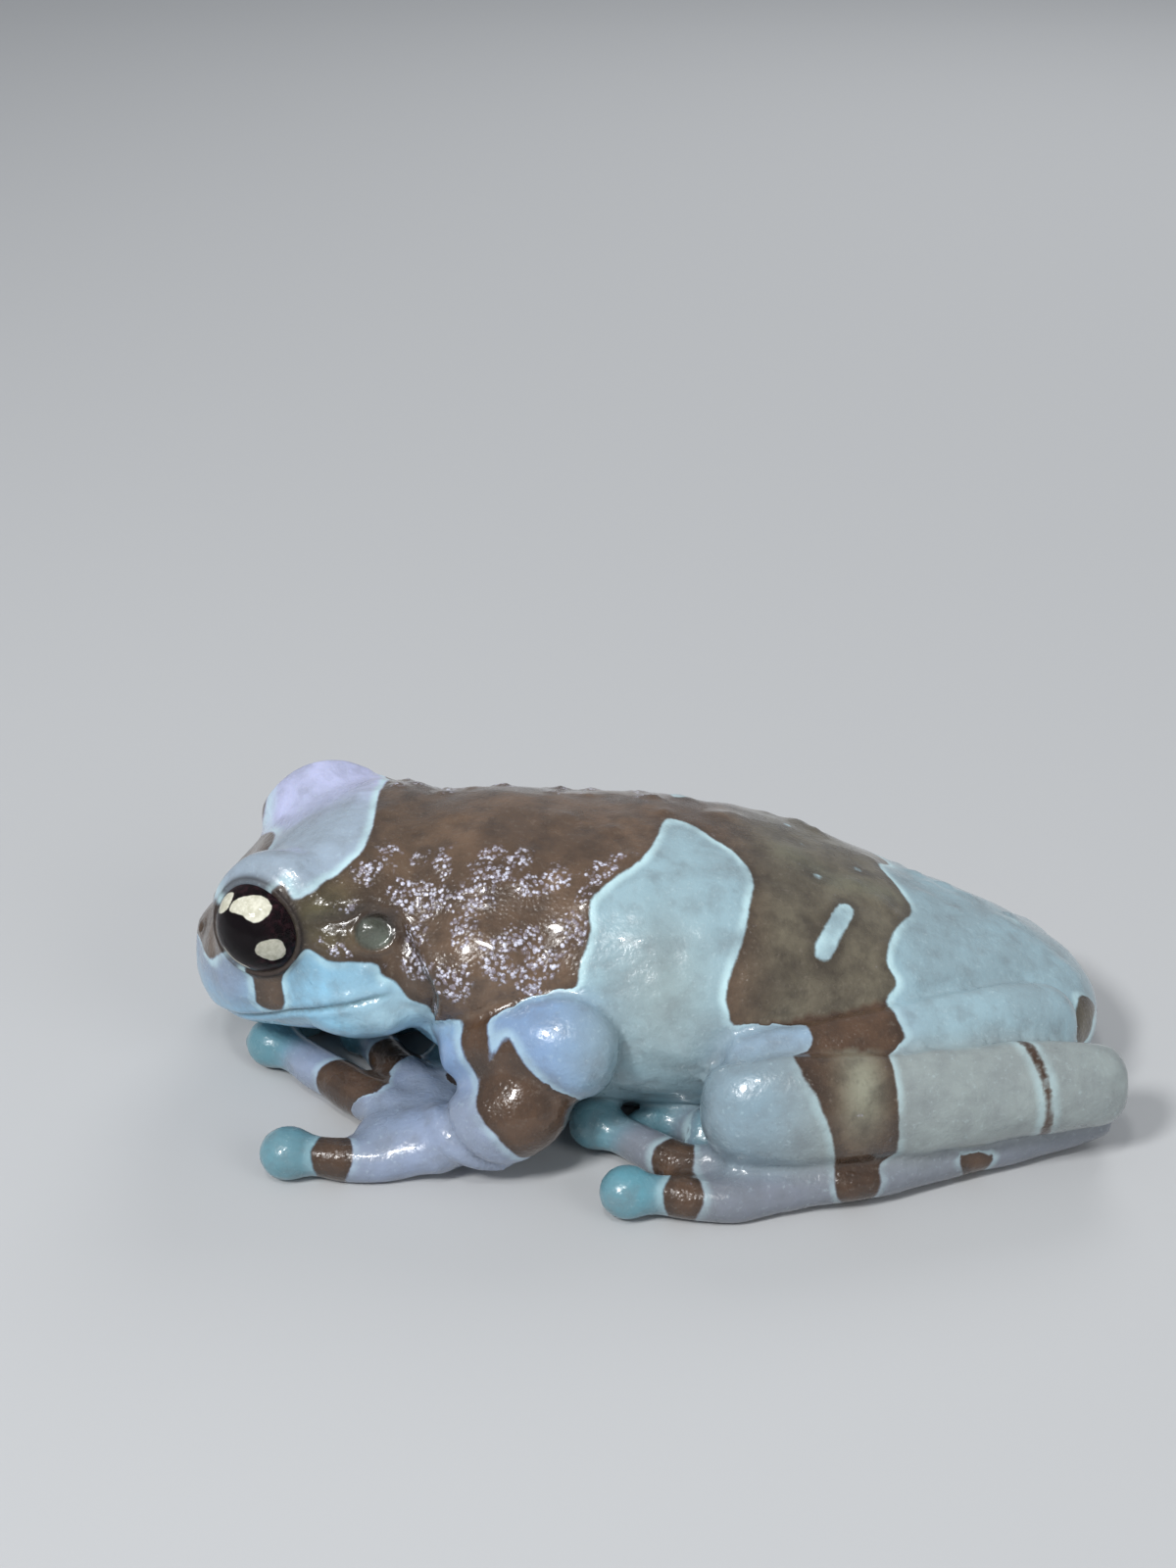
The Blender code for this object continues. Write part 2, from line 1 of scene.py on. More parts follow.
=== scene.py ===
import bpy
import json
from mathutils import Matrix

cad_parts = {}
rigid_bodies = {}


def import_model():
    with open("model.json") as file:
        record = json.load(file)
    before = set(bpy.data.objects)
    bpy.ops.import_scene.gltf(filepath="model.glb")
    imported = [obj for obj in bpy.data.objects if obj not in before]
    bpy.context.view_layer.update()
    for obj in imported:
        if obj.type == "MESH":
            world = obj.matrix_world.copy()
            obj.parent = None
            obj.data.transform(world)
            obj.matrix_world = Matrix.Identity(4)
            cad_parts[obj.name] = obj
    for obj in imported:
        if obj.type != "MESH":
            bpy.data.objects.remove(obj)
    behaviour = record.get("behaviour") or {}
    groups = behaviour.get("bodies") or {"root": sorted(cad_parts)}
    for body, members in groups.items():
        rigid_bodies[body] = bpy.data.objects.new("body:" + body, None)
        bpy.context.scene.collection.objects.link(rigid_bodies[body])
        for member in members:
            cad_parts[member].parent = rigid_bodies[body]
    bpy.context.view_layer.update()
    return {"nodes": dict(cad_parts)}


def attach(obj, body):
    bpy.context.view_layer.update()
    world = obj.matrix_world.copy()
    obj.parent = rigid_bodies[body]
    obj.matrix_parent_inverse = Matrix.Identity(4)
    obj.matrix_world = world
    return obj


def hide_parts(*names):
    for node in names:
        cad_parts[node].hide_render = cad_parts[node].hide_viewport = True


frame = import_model()

import json
import math

import bpy
import numpy as np
from mathutils import Matrix, Vector
from mathutils.bvhtree import BVHTree

# The hide: one moist, elastic skin over head, body and legs. It is drawn over all the flesh pieces at
# once, so that none of their joints shows, and it is closed behind each eyeball.
MM = 0.001
HIDE_GROWTH = 0.21
HIDE_VOXEL = 0.42
PAD_SHRINK = 0.47
FAR_AWAY = 9.0

copies = []
for name in sorted(frame["nodes"]):
    copy = bpy.data.objects.new("hide_" + name, frame["nodes"][name].data.copy())
    bpy.context.scene.collection.objects.link(copy)
    copies.append(copy)
bpy.ops.object.select_all(action="DESELECT")
for copy in copies:
    copy.select_set(True)
skin = copies[0]
bpy.context.view_layer.objects.active = skin
bpy.ops.object.join()
skin.name = "skin"
bpy.ops.object.mode_set(mode="EDIT")
bpy.ops.mesh.select_all(action="SELECT")
bpy.ops.mesh.remove_doubles(threshold=1e-6)
bpy.ops.object.mode_set(mode="OBJECT")


def points_of(piece):
    """The piece's vertices, in millimetres."""
    flat = np.empty(len(piece.data.vertices) * 3)
    piece.data.vertices.foreach_get("co", flat)
    return flat.reshape(-1, 3) / MM


def set_points(piece, points):
    piece.data.vertices.foreach_set("co", (points * MM).ravel())
    piece.data.update()


def normals_of(piece):
    flat = np.empty(len(piece.data.vertices) * 3)
    piece.data.vertex_normals.foreach_get("vector", flat)
    return flat.reshape(-1, 3)


def edges_of(piece):
    flat = np.empty(len(piece.data.edges) * 2, dtype=np.int64)
    piece.data.edges.foreach_get("vertices", flat)
    return flat.reshape(-1, 2)


def drawn_in(points, edges, strength, rounds, share=None):
    """Points moved towards the middle of their neighbours, where share is above 0."""
    first, second = edges[:, 0], edges[:, 1]
    total = len(points)
    links = np.bincount(edges.ravel(), minlength=total)[:, None]
    weight = strength if share is None else strength * share[:, None]
    for _ in range(rounds):
        sums = np.empty_like(points)
        for axis in range(points.shape[1]):
            sums[:, axis] = np.bincount(first, weights=points[second, axis], minlength=total)
            sums[:, axis] += np.bincount(second, weights=points[first, axis], minlength=total)
        points = points + weight * (sums / links - points)
    return points


def evened(points, edges, rounds):
    """Takes out facets without thinning the fingers: each draw in is followed by one out."""
    for _ in range(rounds):
        points = drawn_in(points, edges, 0.6, 1)
        points = drawn_in(points, edges, -0.62, 1)
    return points


def ramp(low, high, values):
    """0 below low and 1 above high, with a smooth rise between."""
    share = np.clip((values - low) / (high - low), 0.0, 1.0)
    return share * share * (3 - 2 * share)


def bell(values, width):
    return np.exp(-((values / width) ** 2))


flesh = sorted(name for name in frame["nodes"] if not name.startswith("eye"))
corners, triangles, triangle_owner, piece_trees = [], [], [], {}
for number, name in enumerate(flesh):
    mesh = frame["nodes"][name].data
    start = len(corners)
    faces = [tuple(face.vertices) for face in mesh.polygons]
    piece_trees[name] = BVHTree.FromPolygons([vertex.co for vertex in mesh.vertices], faces)
    corners.extend(vertex.co for vertex in mesh.vertices)
    triangles.extend([start + index for index in face] for face in faces)
    triangle_owner.extend([number] * len(faces))
flesh_tree = BVHTree.FromPolygons(corners, triangles)


def flesh_under(points):
    """The flesh piece nearest to each point, as its number in flesh, and the nearest place on it."""
    found = [flesh_tree.find_nearest(Vector(point * MM)) for point in points]
    return np.array([triangle_owner[hit[2]] for hit in found]), np.array([hit[0] for hit in found]) / MM


def owners_of(points):
    return flesh_under(points)[0]


def gaps_to(name, places, reach):
    """How far each place is from a flesh piece, or FAR_AWAY where it is beyond reach."""
    near = [piece_trees[name].find_nearest(Vector(place * MM), reach * MM)[3] for place in places]
    return np.array([FAR_AWAY if distance is None else distance / MM for distance in near])


# Fingers and toes only rest against what they touch, so there the hide is drawn in and stays parted
JOINED = {"hand": ("hand", "forearm"), "foot": ("foot", "shank", "thigh")}
RESTING_GAP = 0.8
CLEAR_GAP = 2.0


def growth_of(points):
    """How far the hide swells at each point while it is drawn over the flesh."""
    owner, places = flesh_under(points)
    growth = np.full(len(points), HIDE_GROWTH)
    for name in flesh:
        kind, _, label = name.rpartition("_")
        if kind not in JOINED:
            continue
        kin = [f"{joined}_{label}" for joined in JOINED[kind]]
        for other in flesh:
            if other in kin:
                continue
            for here, there in ((name, other), (other, name)):
                mine = np.flatnonzero(owner == flesh.index(here))
                apart = 1 - ramp(RESTING_GAP, CLEAR_GAP, gaps_to(there, places[mine], CLEAR_GAP))
                growth[mine] = np.minimum(growth[mine], HIDE_GROWTH - PAD_SHRINK * apart)
    return growth


def applied(piece, kind, **settings):
    """Gives the active piece one modifier and applies it."""
    change = piece.modifiers.new(kind.lower(), kind)
    for setting, value in settings.items():
        setattr(change, setting, value)
    bpy.ops.object.modifier_apply(modifier=change.name)


points = points_of(skin)
set_points(skin, points + normals_of(skin) * growth_of(points)[:, None])
applied(skin, "REMESH", mode="VOXEL", voxel_size=HIDE_VOXEL * MM)
points = points_of(skin)
set_points(skin, points - normals_of(skin) * growth_of(points)[:, None])

# The outside surface alone is kept, and the little hollows left between the flesh pieces go
outermost = int(np.argmin(points_of(skin)[:, 0]))
bpy.context.tool_settings.mesh_select_mode = (True, False, False)
bpy.ops.object.mode_set(mode="EDIT")
bpy.ops.mesh.select_all(action="DESELECT")
bpy.ops.object.mode_set(mode="OBJECT")
skin.data.vertices[outermost].select = True
bpy.ops.object.mode_set(mode="EDIT")
bpy.ops.mesh.select_linked()
bpy.ops.mesh.select_all(action="INVERT")
bpy.ops.mesh.delete(type="VERT")
bpy.ops.object.mode_set(mode="OBJECT")

# Where each part of the hide lies on the animal: its head has its own axes, turned a little aside
BODY_AXIS = np.array((0.849, -2.895, 0.0))
NECK = BODY_AXIS + (-14.0, 0.4, 0.0)
HEAD_TURN = np.array(Matrix.Rotation(math.radians(-8.0), 3, "Z"))
EYE_RADIUS = 3.41
EYE_PLACE = (11.5, 7.7, 14.7)


def head_point(forward, sideways, up):
    return NECK + HEAD_TURN @ np.array((-forward, sideways, up))


def head_turned(direction):
    turned = HEAD_TURN @ np.array(direction, dtype=float)
    return turned / np.linalg.norm(turned)


def head_axes(points):
    """Distance forward from the neck, sideways to the animal's right, and up."""
    local = (points - NECK) @ HEAD_TURN
    return -local[:, 0], local[:, 1], local[:, 2]


def face_centres(piece):
    flat = np.empty(len(piece.data.polygons) * 3)
    piece.data.polygons.foreach_get("center", flat)
    return flat.reshape(-1, 3) / MM


def divide_faces(piece, chosen):
    """Cuts each chosen face in four."""
    bpy.context.tool_settings.mesh_select_mode = (False, False, True)
    bpy.ops.object.mode_set(mode="EDIT")
    bpy.ops.mesh.select_all(action="DESELECT")
    bpy.ops.object.mode_set(mode="OBJECT")
    piece.data.polygons.foreach_set("select", chosen)
    bpy.ops.object.mode_set(mode="EDIT")
    bpy.ops.mesh.subdivide(number_cuts=1)
    bpy.ops.object.mode_set(mode="OBJECT")


# The head's hide is finer than the rest, and finest round the eyes, so that lids and lips are crisp.
# First the grooves of the flesh under it are smoothed away: they are drawn again below, sharper.
MOUTH_CENTRE = 7.0
MOUTH_HEIGHTS = (5.9, 6.0, 6.5, 7.6, 9.2, 10.6, 11.6)
MOUTH_CORNER = math.radians(112.0)
EAR = (3.8, 15.1)
EAR_RADIUS = 1.45
NOSTRIL = (17.6, 10.9)
RUBBED_ROUND = {"mouth": 1.1, "neck": 0.9, "ear": 2.9, "nostril": 1.2}
CRISP_ROUND = {"mouth": 1.2, "ear": EAR_RADIUS + 1.0, "nostril": 1.4}
EYE_REACH = 6.0
LID_REACH = 4.7
EYE_INNER = 3.6


def mouth_height(angle):
    """How high the line of the mouth runs, at each angle round the snout."""
    steps = np.linspace(0, MOUTH_CORNER, len(MOUTH_HEIGHTS))
    fine = np.linspace(0, MOUTH_CORNER, 61)
    heights = np.interp(fine, steps, MOUTH_HEIGHTS)
    kernel = np.array((1, 2, 3, 4, 5, 4, 3, 2, 1)) / 25
    heights = np.convolve(np.pad(heights, 4, mode="edge"), kernel, mode="valid")
    return np.interp(np.abs(angle), fine, heights)


def surface_point(piece, inside, direction):
    """The last point of the surface that a ray from inside it reaches, in millimetres."""
    start = Vector((inside + np.array(direction) * 30) * MM)
    hit = piece.ray_cast(start, Vector(-np.array(direction)))[1]
    return np.array(hit) / MM


points = points_of(skin)
edges = edges_of(skin)
owner = owners_of(points)
on_head = owner == flesh.index("head")
forward, sideways, up = head_axes(points)
angle = np.arctan2(sideways, forward - MOUTH_CENTRE)
above_mouth = up - mouth_height(angle)
rubbed = on_head & (np.abs(above_mouth) < RUBBED_ROUND["mouth"])
rubbed &= np.abs(angle) < MOUTH_CORNER + 0.25
rubbed |= np.abs(forward) < RUBBED_ROUND["neck"]
ears, nostrils = {}, {}
for side in (-1, 1):
    ears[side] = surface_point(skin, head_point(EAR[0], 0, EAR[1] - 2.0), head_turned((0.0, side, 0.25)))
    start = head_point(NOSTRIL[0] - 4.0, side * 1.0, NOSTRIL[1])
    nostrils[side] = surface_point(skin, start, head_turned((-0.8, side * 0.5, 0.1)))
    rubbed |= np.linalg.norm(points - ears[side], axis=1) < RUBBED_ROUND["ear"]
    rubbed |= np.linalg.norm(points - nostrils[side], axis=1) < RUBBED_ROUND["nostril"]
share = drawn_in(rubbed.astype(float)[:, None], edges, 0.5, 3)[:, 0]
points = drawn_in(points, edges, 0.5, 26, share)
points = evened(points, edges, 14)
set_points(skin, points)


def crisp_places(centres, eye_reach, openings_too):
    """The head's faces that lie near an eye and, where asked for, near the lips, ears and nostrils."""
    forward, sideways, up = head_axes(centres)
    near = np.zeros(len(centres), dtype=bool)
    for side in (-1, 1):
        middle = head_point(EYE_PLACE[0], side * EYE_PLACE[1], EYE_PLACE[2])
        reach = np.linalg.norm(centres - middle, axis=1)
        near |= (reach < eye_reach) & (sideways * side > EYE_INNER)
        if openings_too:
            near |= np.linalg.norm(centres - ears[side], axis=1) < CRISP_ROUND["ear"]
            near |= np.linalg.norm(centres - nostrils[side], axis=1) < CRISP_ROUND["nostril"]
    if openings_too:
        angle = np.arctan2(sideways, forward - MOUTH_CENTRE)
        by_mouth = np.abs(up - mouth_height(angle)) < CRISP_ROUND["mouth"]
        near |= by_mouth & (np.abs(angle) < MOUTH_CORNER + 0.15)
    return near & (owners_of(centres) == flesh.index("head"))


divide_faces(skin, crisp_places(face_centres(skin), EYE_REACH, True))
divide_faces(skin, crisp_places(face_centres(skin), LID_REACH, False))
points = evened(points_of(skin), edges_of(skin), 6)
set_points(skin, points)

# The relief of the hide: lids, lips, nostrils, eardrums, the fold behind them, and warts. Each is a
# swelling or a groove along the surface's own normal, a few tenths of a millimetre deep. The groove of
# the mouth and its two lips are given by their height, their place above its line and their width.
LIPS = ((-0.24, 0.0, 0.17), (0.11, 0.55, 0.38), (0.08, -0.5, 0.36))
EAR_RING = 0.20
EAR_DISH = 0.18
NOSTRIL_DEPTH = 0.42
NOSTRIL_RING = 0.10
NOSTRIL_WIDTH = 0.27

points = points_of(skin)
edges = edges_of(skin)
owner = owners_of(points)
on_head = owner == flesh.index("head")
on_torso = owner == flesh.index("torso")
on_trunk = on_head | on_torso
outward = normals_of(skin)
forward, sideways, up = head_axes(points)
relief = np.zeros(len(points))
plain_points = points.copy()

angle = np.arctan2(sideways, forward - MOUTH_CENTRE)
above_mouth = up - mouth_height(angle)
mouth = on_head * (1 - ramp(MOUTH_CORNER - 0.06, MOUTH_CORNER + 0.04, np.abs(angle)))
for height, middle, width in LIPS:
    relief += height * mouth * bell(above_mouth - middle, width)

ear_share = np.zeros(len(points))
ear_shade = np.zeros(len(points))
nostril_shade = np.zeros(len(points))
for side in (-1, 1):
    spoke = (points - ears[side]) * (1.0, 1.0, 1.12)
    away = np.linalg.norm(spoke, axis=1)
    relief += EAR_RING * bell(away - EAR_RADIUS, 0.26)
    relief -= EAR_DISH * (1 - ramp(EAR_RADIUS - 0.45, EAR_RADIUS - 0.1, away))
    behind = (spoke @ head_turned((0.75, 0.0, 0.65))) / np.maximum(away, 0.1)
    ear_shade = np.maximum(ear_shade, bell(away - EAR_RADIUS + 0.22, 0.30) * ramp(-0.1, 0.7, behind))
    ear_share = np.maximum(ear_share, 1 - ramp(EAR_RADIUS - 0.35, EAR_RADIUS - 0.05, away))
    away = np.linalg.norm((points - nostrils[side]) * (1.0, 1.0, 1.25), axis=1)
    relief -= NOSTRIL_DEPTH * bell(away, NOSTRIL_WIDTH)
    relief += NOSTRIL_RING * bell(away - 0.55, 0.2)
    nostril_shade = np.maximum(nostril_shade, bell(away, NOSTRIL_WIDTH))

BODY_RADIUS = 11.0
HEAD_RADIUS = 10.0
HEAD_MIDDLE = 10.0


def girth_of(points):
    """Distance along the body, and distance round it from the ridge of the back, left side positive."""
    along = points[:, 0]
    middle = 9.0 - np.clip((along - 2.0) / 28.0, 0, 1) * 5.5
    return along, np.arctan2(-(points[:, 1] - BODY_AXIS[1]), points[:, 2] - middle) * BODY_RADIUS


def head_girth_of(points):
    """Distance forward from the neck, and distance round the head from its crown, left side positive."""
    forward, sideways, up = head_axes(points)
    return forward, np.arctan2(-sideways, up - HEAD_MIDDLE) * HEAD_RADIUS


def from_line(first, second, line):
    """Distance of places (first, second) from a line of points, positive on its left side."""
    best = np.full(len(first), 1e9)
    signed = np.zeros(len(first))
    for (a, b), (c, d) in zip(line, line[1:]):
        length = math.hypot(c - a, d - b)
        share = np.clip(((first - a) * (c - a) + (second - b) * (d - b)) / length**2, 0, 1)
        gap = np.hypot(first - a - share * (c - a), second - b - share * (d - b))
        turn = (c - a) * (second - b) - (d - b) * (first - a)
        nearer = gap < best
        best[nearer] = gap[nearer]
        signed[nearer] = (np.sign(turn) * gap)[nearer]
    return signed


# The fold of hide that starts over the eardrum and runs down behind it, and the swelling over the eye
EAR_FOLD = (
    (8.2, 10.1), (6.0, 9.7), (4.2, 9.2), (2.6, 9.5), (1.4, 10.8), (0.3, 12.4), (-0.4, 13.8), (-0.2, 15.6),
    (0.0, 17.0),
)
FOLD_SWELL = 0.38
FOLD_DIP = 0.42
BROW_SWELL = 0.32
head_along, head_round = head_girth_of(points)
off_fold = from_line(head_along, np.abs(head_round), EAR_FOLD)
fold = on_trunk * ramp(-3.4, -1.8, head_along) * (1 - ramp(6.8, 8.2, head_along))
relief += FOLD_SWELL * fold * bell(off_fold - 0.75, 0.70)
relief -= FOLD_DIP * fold * bell(off_fold + 0.15, 0.48)
brow = on_head * bell(np.hypot(head_along - 14.2, (np.abs(head_round) - 8.4) * 0.8), 2.2)
relief += BROW_SWELL * brow

# Clusters of warts over the shoulders and flanks, thinner over the middle of the back
WART_TRIES = 3000
WART_CLUSTERS = 96
WART_SWELL = 0.10
WARTS_IN_CLUSTER = 4
LOIN_BUMPS = 90
WAVES = 24
WAVE_HEIGHT = 0.012

rng = np.random.default_rng(11)
along, around = girth_of(points)
wart_share = np.zeros(len(points))
wart_spots = []
for spot in rng.uniform((-21.0, -17.0), (1.5, 17.0), (WART_TRIES, 2)):
    nearest = min((math.dist(spot, other) for other in wart_spots), default=FAR_AWAY)
    kept_clear = 1.9 if abs(spot[1]) > 4.0 else 3.4
    if nearest > kept_clear and len(wart_spots) < WART_CLUSTERS:
        wart_spots.append(tuple(spot))
for place, girth in wart_spots:
    cluster = rng.uniform(0.55, 1.05)
    stretch = rng.uniform(0.75, 1.35)
    away = np.hypot((along - place) * stretch, around - girth)
    relief += WART_SWELL * on_trunk * bell(away, cluster)
    wart_share = np.maximum(wart_share, on_trunk * (1 - ramp(cluster * 0.5, cluster * 2.4, away)))
    for _ in range(WARTS_IN_CLUSTER):
        shift = rng.normal(0, cluster * 0.55, 2)
        away = np.hypot(along - place - shift[0], around - girth - shift[1])
        relief += rng.uniform(0.05, 0.11) * on_trunk * bell(away, rng.uniform(0.28, 0.42))

# Lower and fewer bumps go on over the loins and the rump
for place, girth in rng.uniform((-2.0, -19.0), (30.0, 19.0), (LOIN_BUMPS, 2)):
    away = np.hypot(along - place, around - girth)
    relief += rng.uniform(0.08, 0.22) * on_trunk * bell(away, rng.uniform(0.45, 0.9))

wave_rng = np.random.default_rng(4)
for _ in range(WAVES):
    direction = wave_rng.normal(size=3)
    direction /= np.linalg.norm(direction)
    length = wave_rng.uniform(3.0, 9.0)
    relief += WAVE_HEIGHT * np.sin(points @ direction * math.tau / length + wave_rng.uniform(0, math.tau))

# Where one piece of flesh lies against the next, the hide dips into the fold between them
FOLDS = (
    ("torso", "thigh"), ("thigh", "shank"), ("shank", "foot"), ("torso", "upper_arm"), ("torso", "shank"),
)
FOLD_REACH = 1.1
FOLD_DEPTH = 0.34
for first_kind, second_kind in FOLDS:
    for label in ("_left", "_right"):
        pair = [kind if kind == "torso" else kind + label for kind in (first_kind, second_kind)]
        for here, there in (pair, pair[::-1]):
            mine = np.flatnonzero(owner == flesh.index(here))
            gap = np.maximum(gaps_to(there, points[mine], FOLD_REACH) - 0.25, 0.0)
            relief[mine] -= FOLD_DEPTH * bell(gap, 0.42)

# Middle lines of the legs and arms on the left, and how those on the right differ
LIMB_LINES = {
    "upper_arm": ((-14.6, -8.6, 7.4), (-11.4, -11.0, 8.4), (-7.0, -12.3, 9.3), (-2.8, -12.2, 9.0)),
    "forearm": ((-4.4, -13.2, 7.6), (-7.2, -14.0, 5.9), (-10.8, -13.9, 4.3), (-14.8, -13.0, 2.8)),
    "hand": ((-12.8, -13.2, 2.6), (-15.6, -12.7, 2.1), (-18.2, -11.9, 1.7), (-20.4, -10.6, 1.4)),
    "thigh": (
        (28.2, -5.0, 6.0), (20.5, -8.4, 6.8), (12.8, -11.2, 7.3), (7.4, -12.9, 7.5), (3.6, -14.2, 7.2),
    ),
    "shank": (
        (2.2, -15.2, 6.4), (8.0, -15.2, 6.3), (14.6, -14.2, 5.9), (21.6, -13.0, 6.1), (27.0, -12.1, 5.9),
        (30.7, -11.5, 5.6),
    ),
    "foot": (
        (30.2, -9.8, 2.7), (25.6, -11.0, 1.9), (19.0, -13.6, 1.9), (12.6, -15.6, 1.8), (6.2, -16.0, 1.5),
    ),
}
LIMB_RADIUS = 3.6
RIGHT_SHIFT = {
    "upper_arm": (-0.8, -0.8, -0.4), "forearm": (-0.8, -0.6, 0.0), "hand": (1.0, -0.4, 0.0),
    "thigh": (-1.5, -1.2, -1.8), "shank": (-3.0, -1.6, -2.4), "foot": (-3.0, 0.8, 0.0),
}
RIGHT_TURN = {"hand": -26.0, "foot": -9.0}


def rounded(outline, closed=True, steps=5):
    """A smooth line through the points of an outline."""
    given = np.array(outline, dtype=float)
    spans = len(given) if closed else len(given) - 1
    made = []
    for start in range(spans):
        if closed:
            four = [given[(start + offset) % len(given)] for offset in (-1, 0, 1, 2)]
        else:
            four = [given[min(max(start + offset, 0), len(given) - 1)] for offset in (-1, 0, 1, 2)]
        before, here, there, after = four
        for step in range(steps):
            part = step / steps
            made.append(
                0.5 * (
                    2 * here + (there - before) * part
                    + (2 * before - 5 * here + 4 * there - after) * part**2
                    + (3 * here - before - 3 * there + after) * part**3
                )
            )
    if not closed:
        made.append(given[-1])
    return np.array(made)


def placed(kind, point, side):
    """A point given for the left side, as it stands or carried over to the right."""
    place = np.array(point, dtype=float)
    if side > 0:
        place = place * (1, -1, 1)
        if kind in RIGHT_TURN:
            pivot = np.array(LIMB_LINES[kind][0]) * (1, -1, 1)
            swing = np.array(Matrix.Rotation(math.radians(RIGHT_TURN[kind]), 3, "Z"))
            place = pivot + swing @ (place - pivot)
        place = place + RIGHT_SHIFT[kind]
    return place + BODY_AXIS


def along_limb(points, line, radius, side):
    """Distances down a limb's middle line, about it from the top outwards, and off it, and its length."""
    path = rounded(line, closed=False, steps=24)
    steps = np.linalg.norm(np.diff(path, axis=0), axis=1)
    lengths = np.concatenate(([0.0], np.cumsum(steps)))
    nearest = np.argmin(((points[:, None, :] - path[None, :, :]) ** 2).sum(axis=2), axis=1)
    ahead = path[np.minimum(nearest + 1, len(path) - 1)] - path[np.maximum(nearest - 1, 0)]
    ahead /= np.linalg.norm(ahead, axis=1)[:, None]
    across = np.cross(ahead, (0.0, 0.0, 1.0))
    across /= np.linalg.norm(across, axis=1)[:, None]
    across *= np.where(across[:, 1] * side < 0, -1.0, 1.0)[:, None]
    upward = np.cross(ahead, across)
    upward *= np.where(upward[:, 2] < 0, -1.0, 1.0)[:, None]
    offset = points - path[nearest]
    travelled = lengths[nearest] + (offset * ahead).sum(axis=1)
    turn = np.arctan2((offset * across).sum(axis=1), (offset * upward).sum(axis=1))
    return travelled, turn * radius, np.linalg.norm(offset, axis=1), lengths[-1]


# The loose hide of the forearm ends in a fold over the back of the hand
WRIST_FOLD = ((10.9, -1.5), (10.6, 0.5), (10.2, 2.6), (9.8, 4.3), (9.25, 6.0), (8.8, 7.3), (8.1, 8.6))
WRIST_DIP = 0.38
WRIST_SWELL = 0.26
for side, label in ((-1, "_left"), (1, "_right")):
    arm = (owner == flesh.index("forearm" + label)) | (owner == flesh.index("hand" + label))
    mine = np.flatnonzero(arm)
    line = [placed("forearm", point, side) for point in LIMB_LINES["forearm"]]
    down, about, off, _ = along_limb(points[mine], line, LIMB_RADIUS, side)
    off_line = from_line(down, about, WRIST_FOLD)
    near = (off < 5.0) * ramp(-2.6, -1.0, about)
    relief[mine] -= WRIST_DIP * near * bell(off_line, 0.30)
    relief[mine] += WRIST_SWELL * near * bell(off_line + 0.80, 0.65)

points = points + outward * relief[:, None]


def eye_frame(side):
    """The middle of an eyeball, the way its opening faces, then rearward and upward across that."""
    middle = head_point(EYE_PLACE[0], side * EYE_PLACE[1], EYE_PLACE[2])
    facing = head_turned((-0.30, 0.90 * side, 0.30))
    rearward = np.cross((0.0, 0.0, 1.0), facing) * -side
    rearward /= np.linalg.norm(rearward)
    upward = np.cross(facing, rearward) * -side
    return middle, facing, rearward, upward


# Each lid is a wall that starts under the eyeball's surface and ends in a thick edge over it
LID_ROOT = 0.85
LID_WALL = 1.10
LID_THICK = 0.25
LID_CREASE = 0.10

lid_edge = np.full(len(points), FAR_AWAY)
for side in (-1, 1):
    middle, facing, rearward, upward = eye_frame(side)
    spoke = points - middle
    reach = np.linalg.norm(spoke, axis=1)
    spoke /= reach[:, None]
    tilt = np.degrees(np.arccos(np.clip(spoke @ facing, -1, 1)))
    turn = np.arctan2(spoke @ upward, spoke @ rearward)
    opening = 65.8 + 1.2 * np.cos(turn) - 5.8 * np.sin(turn)
    opening = opening + 1.5 * np.cos(2 * turn) - 3.0 * np.sin(2 * turn)
    beyond = np.radians(tilt - opening) * EYE_RADIUS
    near = (reach < 5.4) & (tilt < 125) & on_head
    rim = EYE_RADIUS - LID_ROOT + LID_WALL * ramp(-0.34, 0.04, beyond)
    crease = LID_CREASE * bell(beyond - 0.66, 0.2)
    lid = rim + (np.maximum(reach, EYE_RADIUS + LID_THICK) - rim) * ramp(0.10, 1.4, beyond) - crease
    points[near] = (middle + spoke * lid[:, None])[near]
    lid_edge[near] = beyond[near]

points[:, 2] = np.maximum(points[:, 2], 0.0)
set_points(skin, points)

# The markings: pale fields with a white edge on brown, bars across the legs and teal pads. Each field
# is an outline in millimetres along and round the part that it lies on, left side as measured.
FLANK_FIELD = (
    (1.3, -1.0), (0.6, 1.4), (-0.4, 4.4), (-3.3, 7.4), (-4.1, 8.5), (-4.0, 10.3), (-4.7, 12.0), (-4.8, 13.6),
    (-5.0, 17.0), (-5.5, 22.0), (-8.0, 33.0), (8.0, 33.0), (5.6, 22.0), (5.1, 15.0), (4.8, 13.5), (5.2, 12.1),
    (6.1, 9.7), (6.6, 7.2), (6.9, 5.2), (6.0, 3.0), (3.4, 0.4),
)
RUMP_FIELD = (
    (17.0, -14.0), (15.8, -9.6), (17.2, -6.0), (16.1, -3.7), (17.4, 0.6), (18.0, 3.2), (16.6, 6.2),
    (15.8, 8.5), (15.7, 9.8), (16.4, 11.1), (15.6, 12.6), (15.0, 20.0), (14.0, 36.0), (45.0, 36.0),
    (45.0, -36.0), (15.0, -36.0), (16.0, -20.0),
)
BACK_SPOTS = (
    ((13.2, 5.8), (11.3, 9.9), 0.62),
    ((11.4, 2.8), (11.5, 2.9), 0.46),
    ((14.4, -0.4), (14.5, -0.4), 0.50),
    ((10.6, -1.8), (10.7, -1.7), 0.40),
    ((9.8, -5.2), (9.9, -5.1), 0.42),
    ((12.4, -8.4), (11.2, -11.2), 0.50),
    ((-9.8, -6.4), (-9.7, -6.3), 0.28),
)
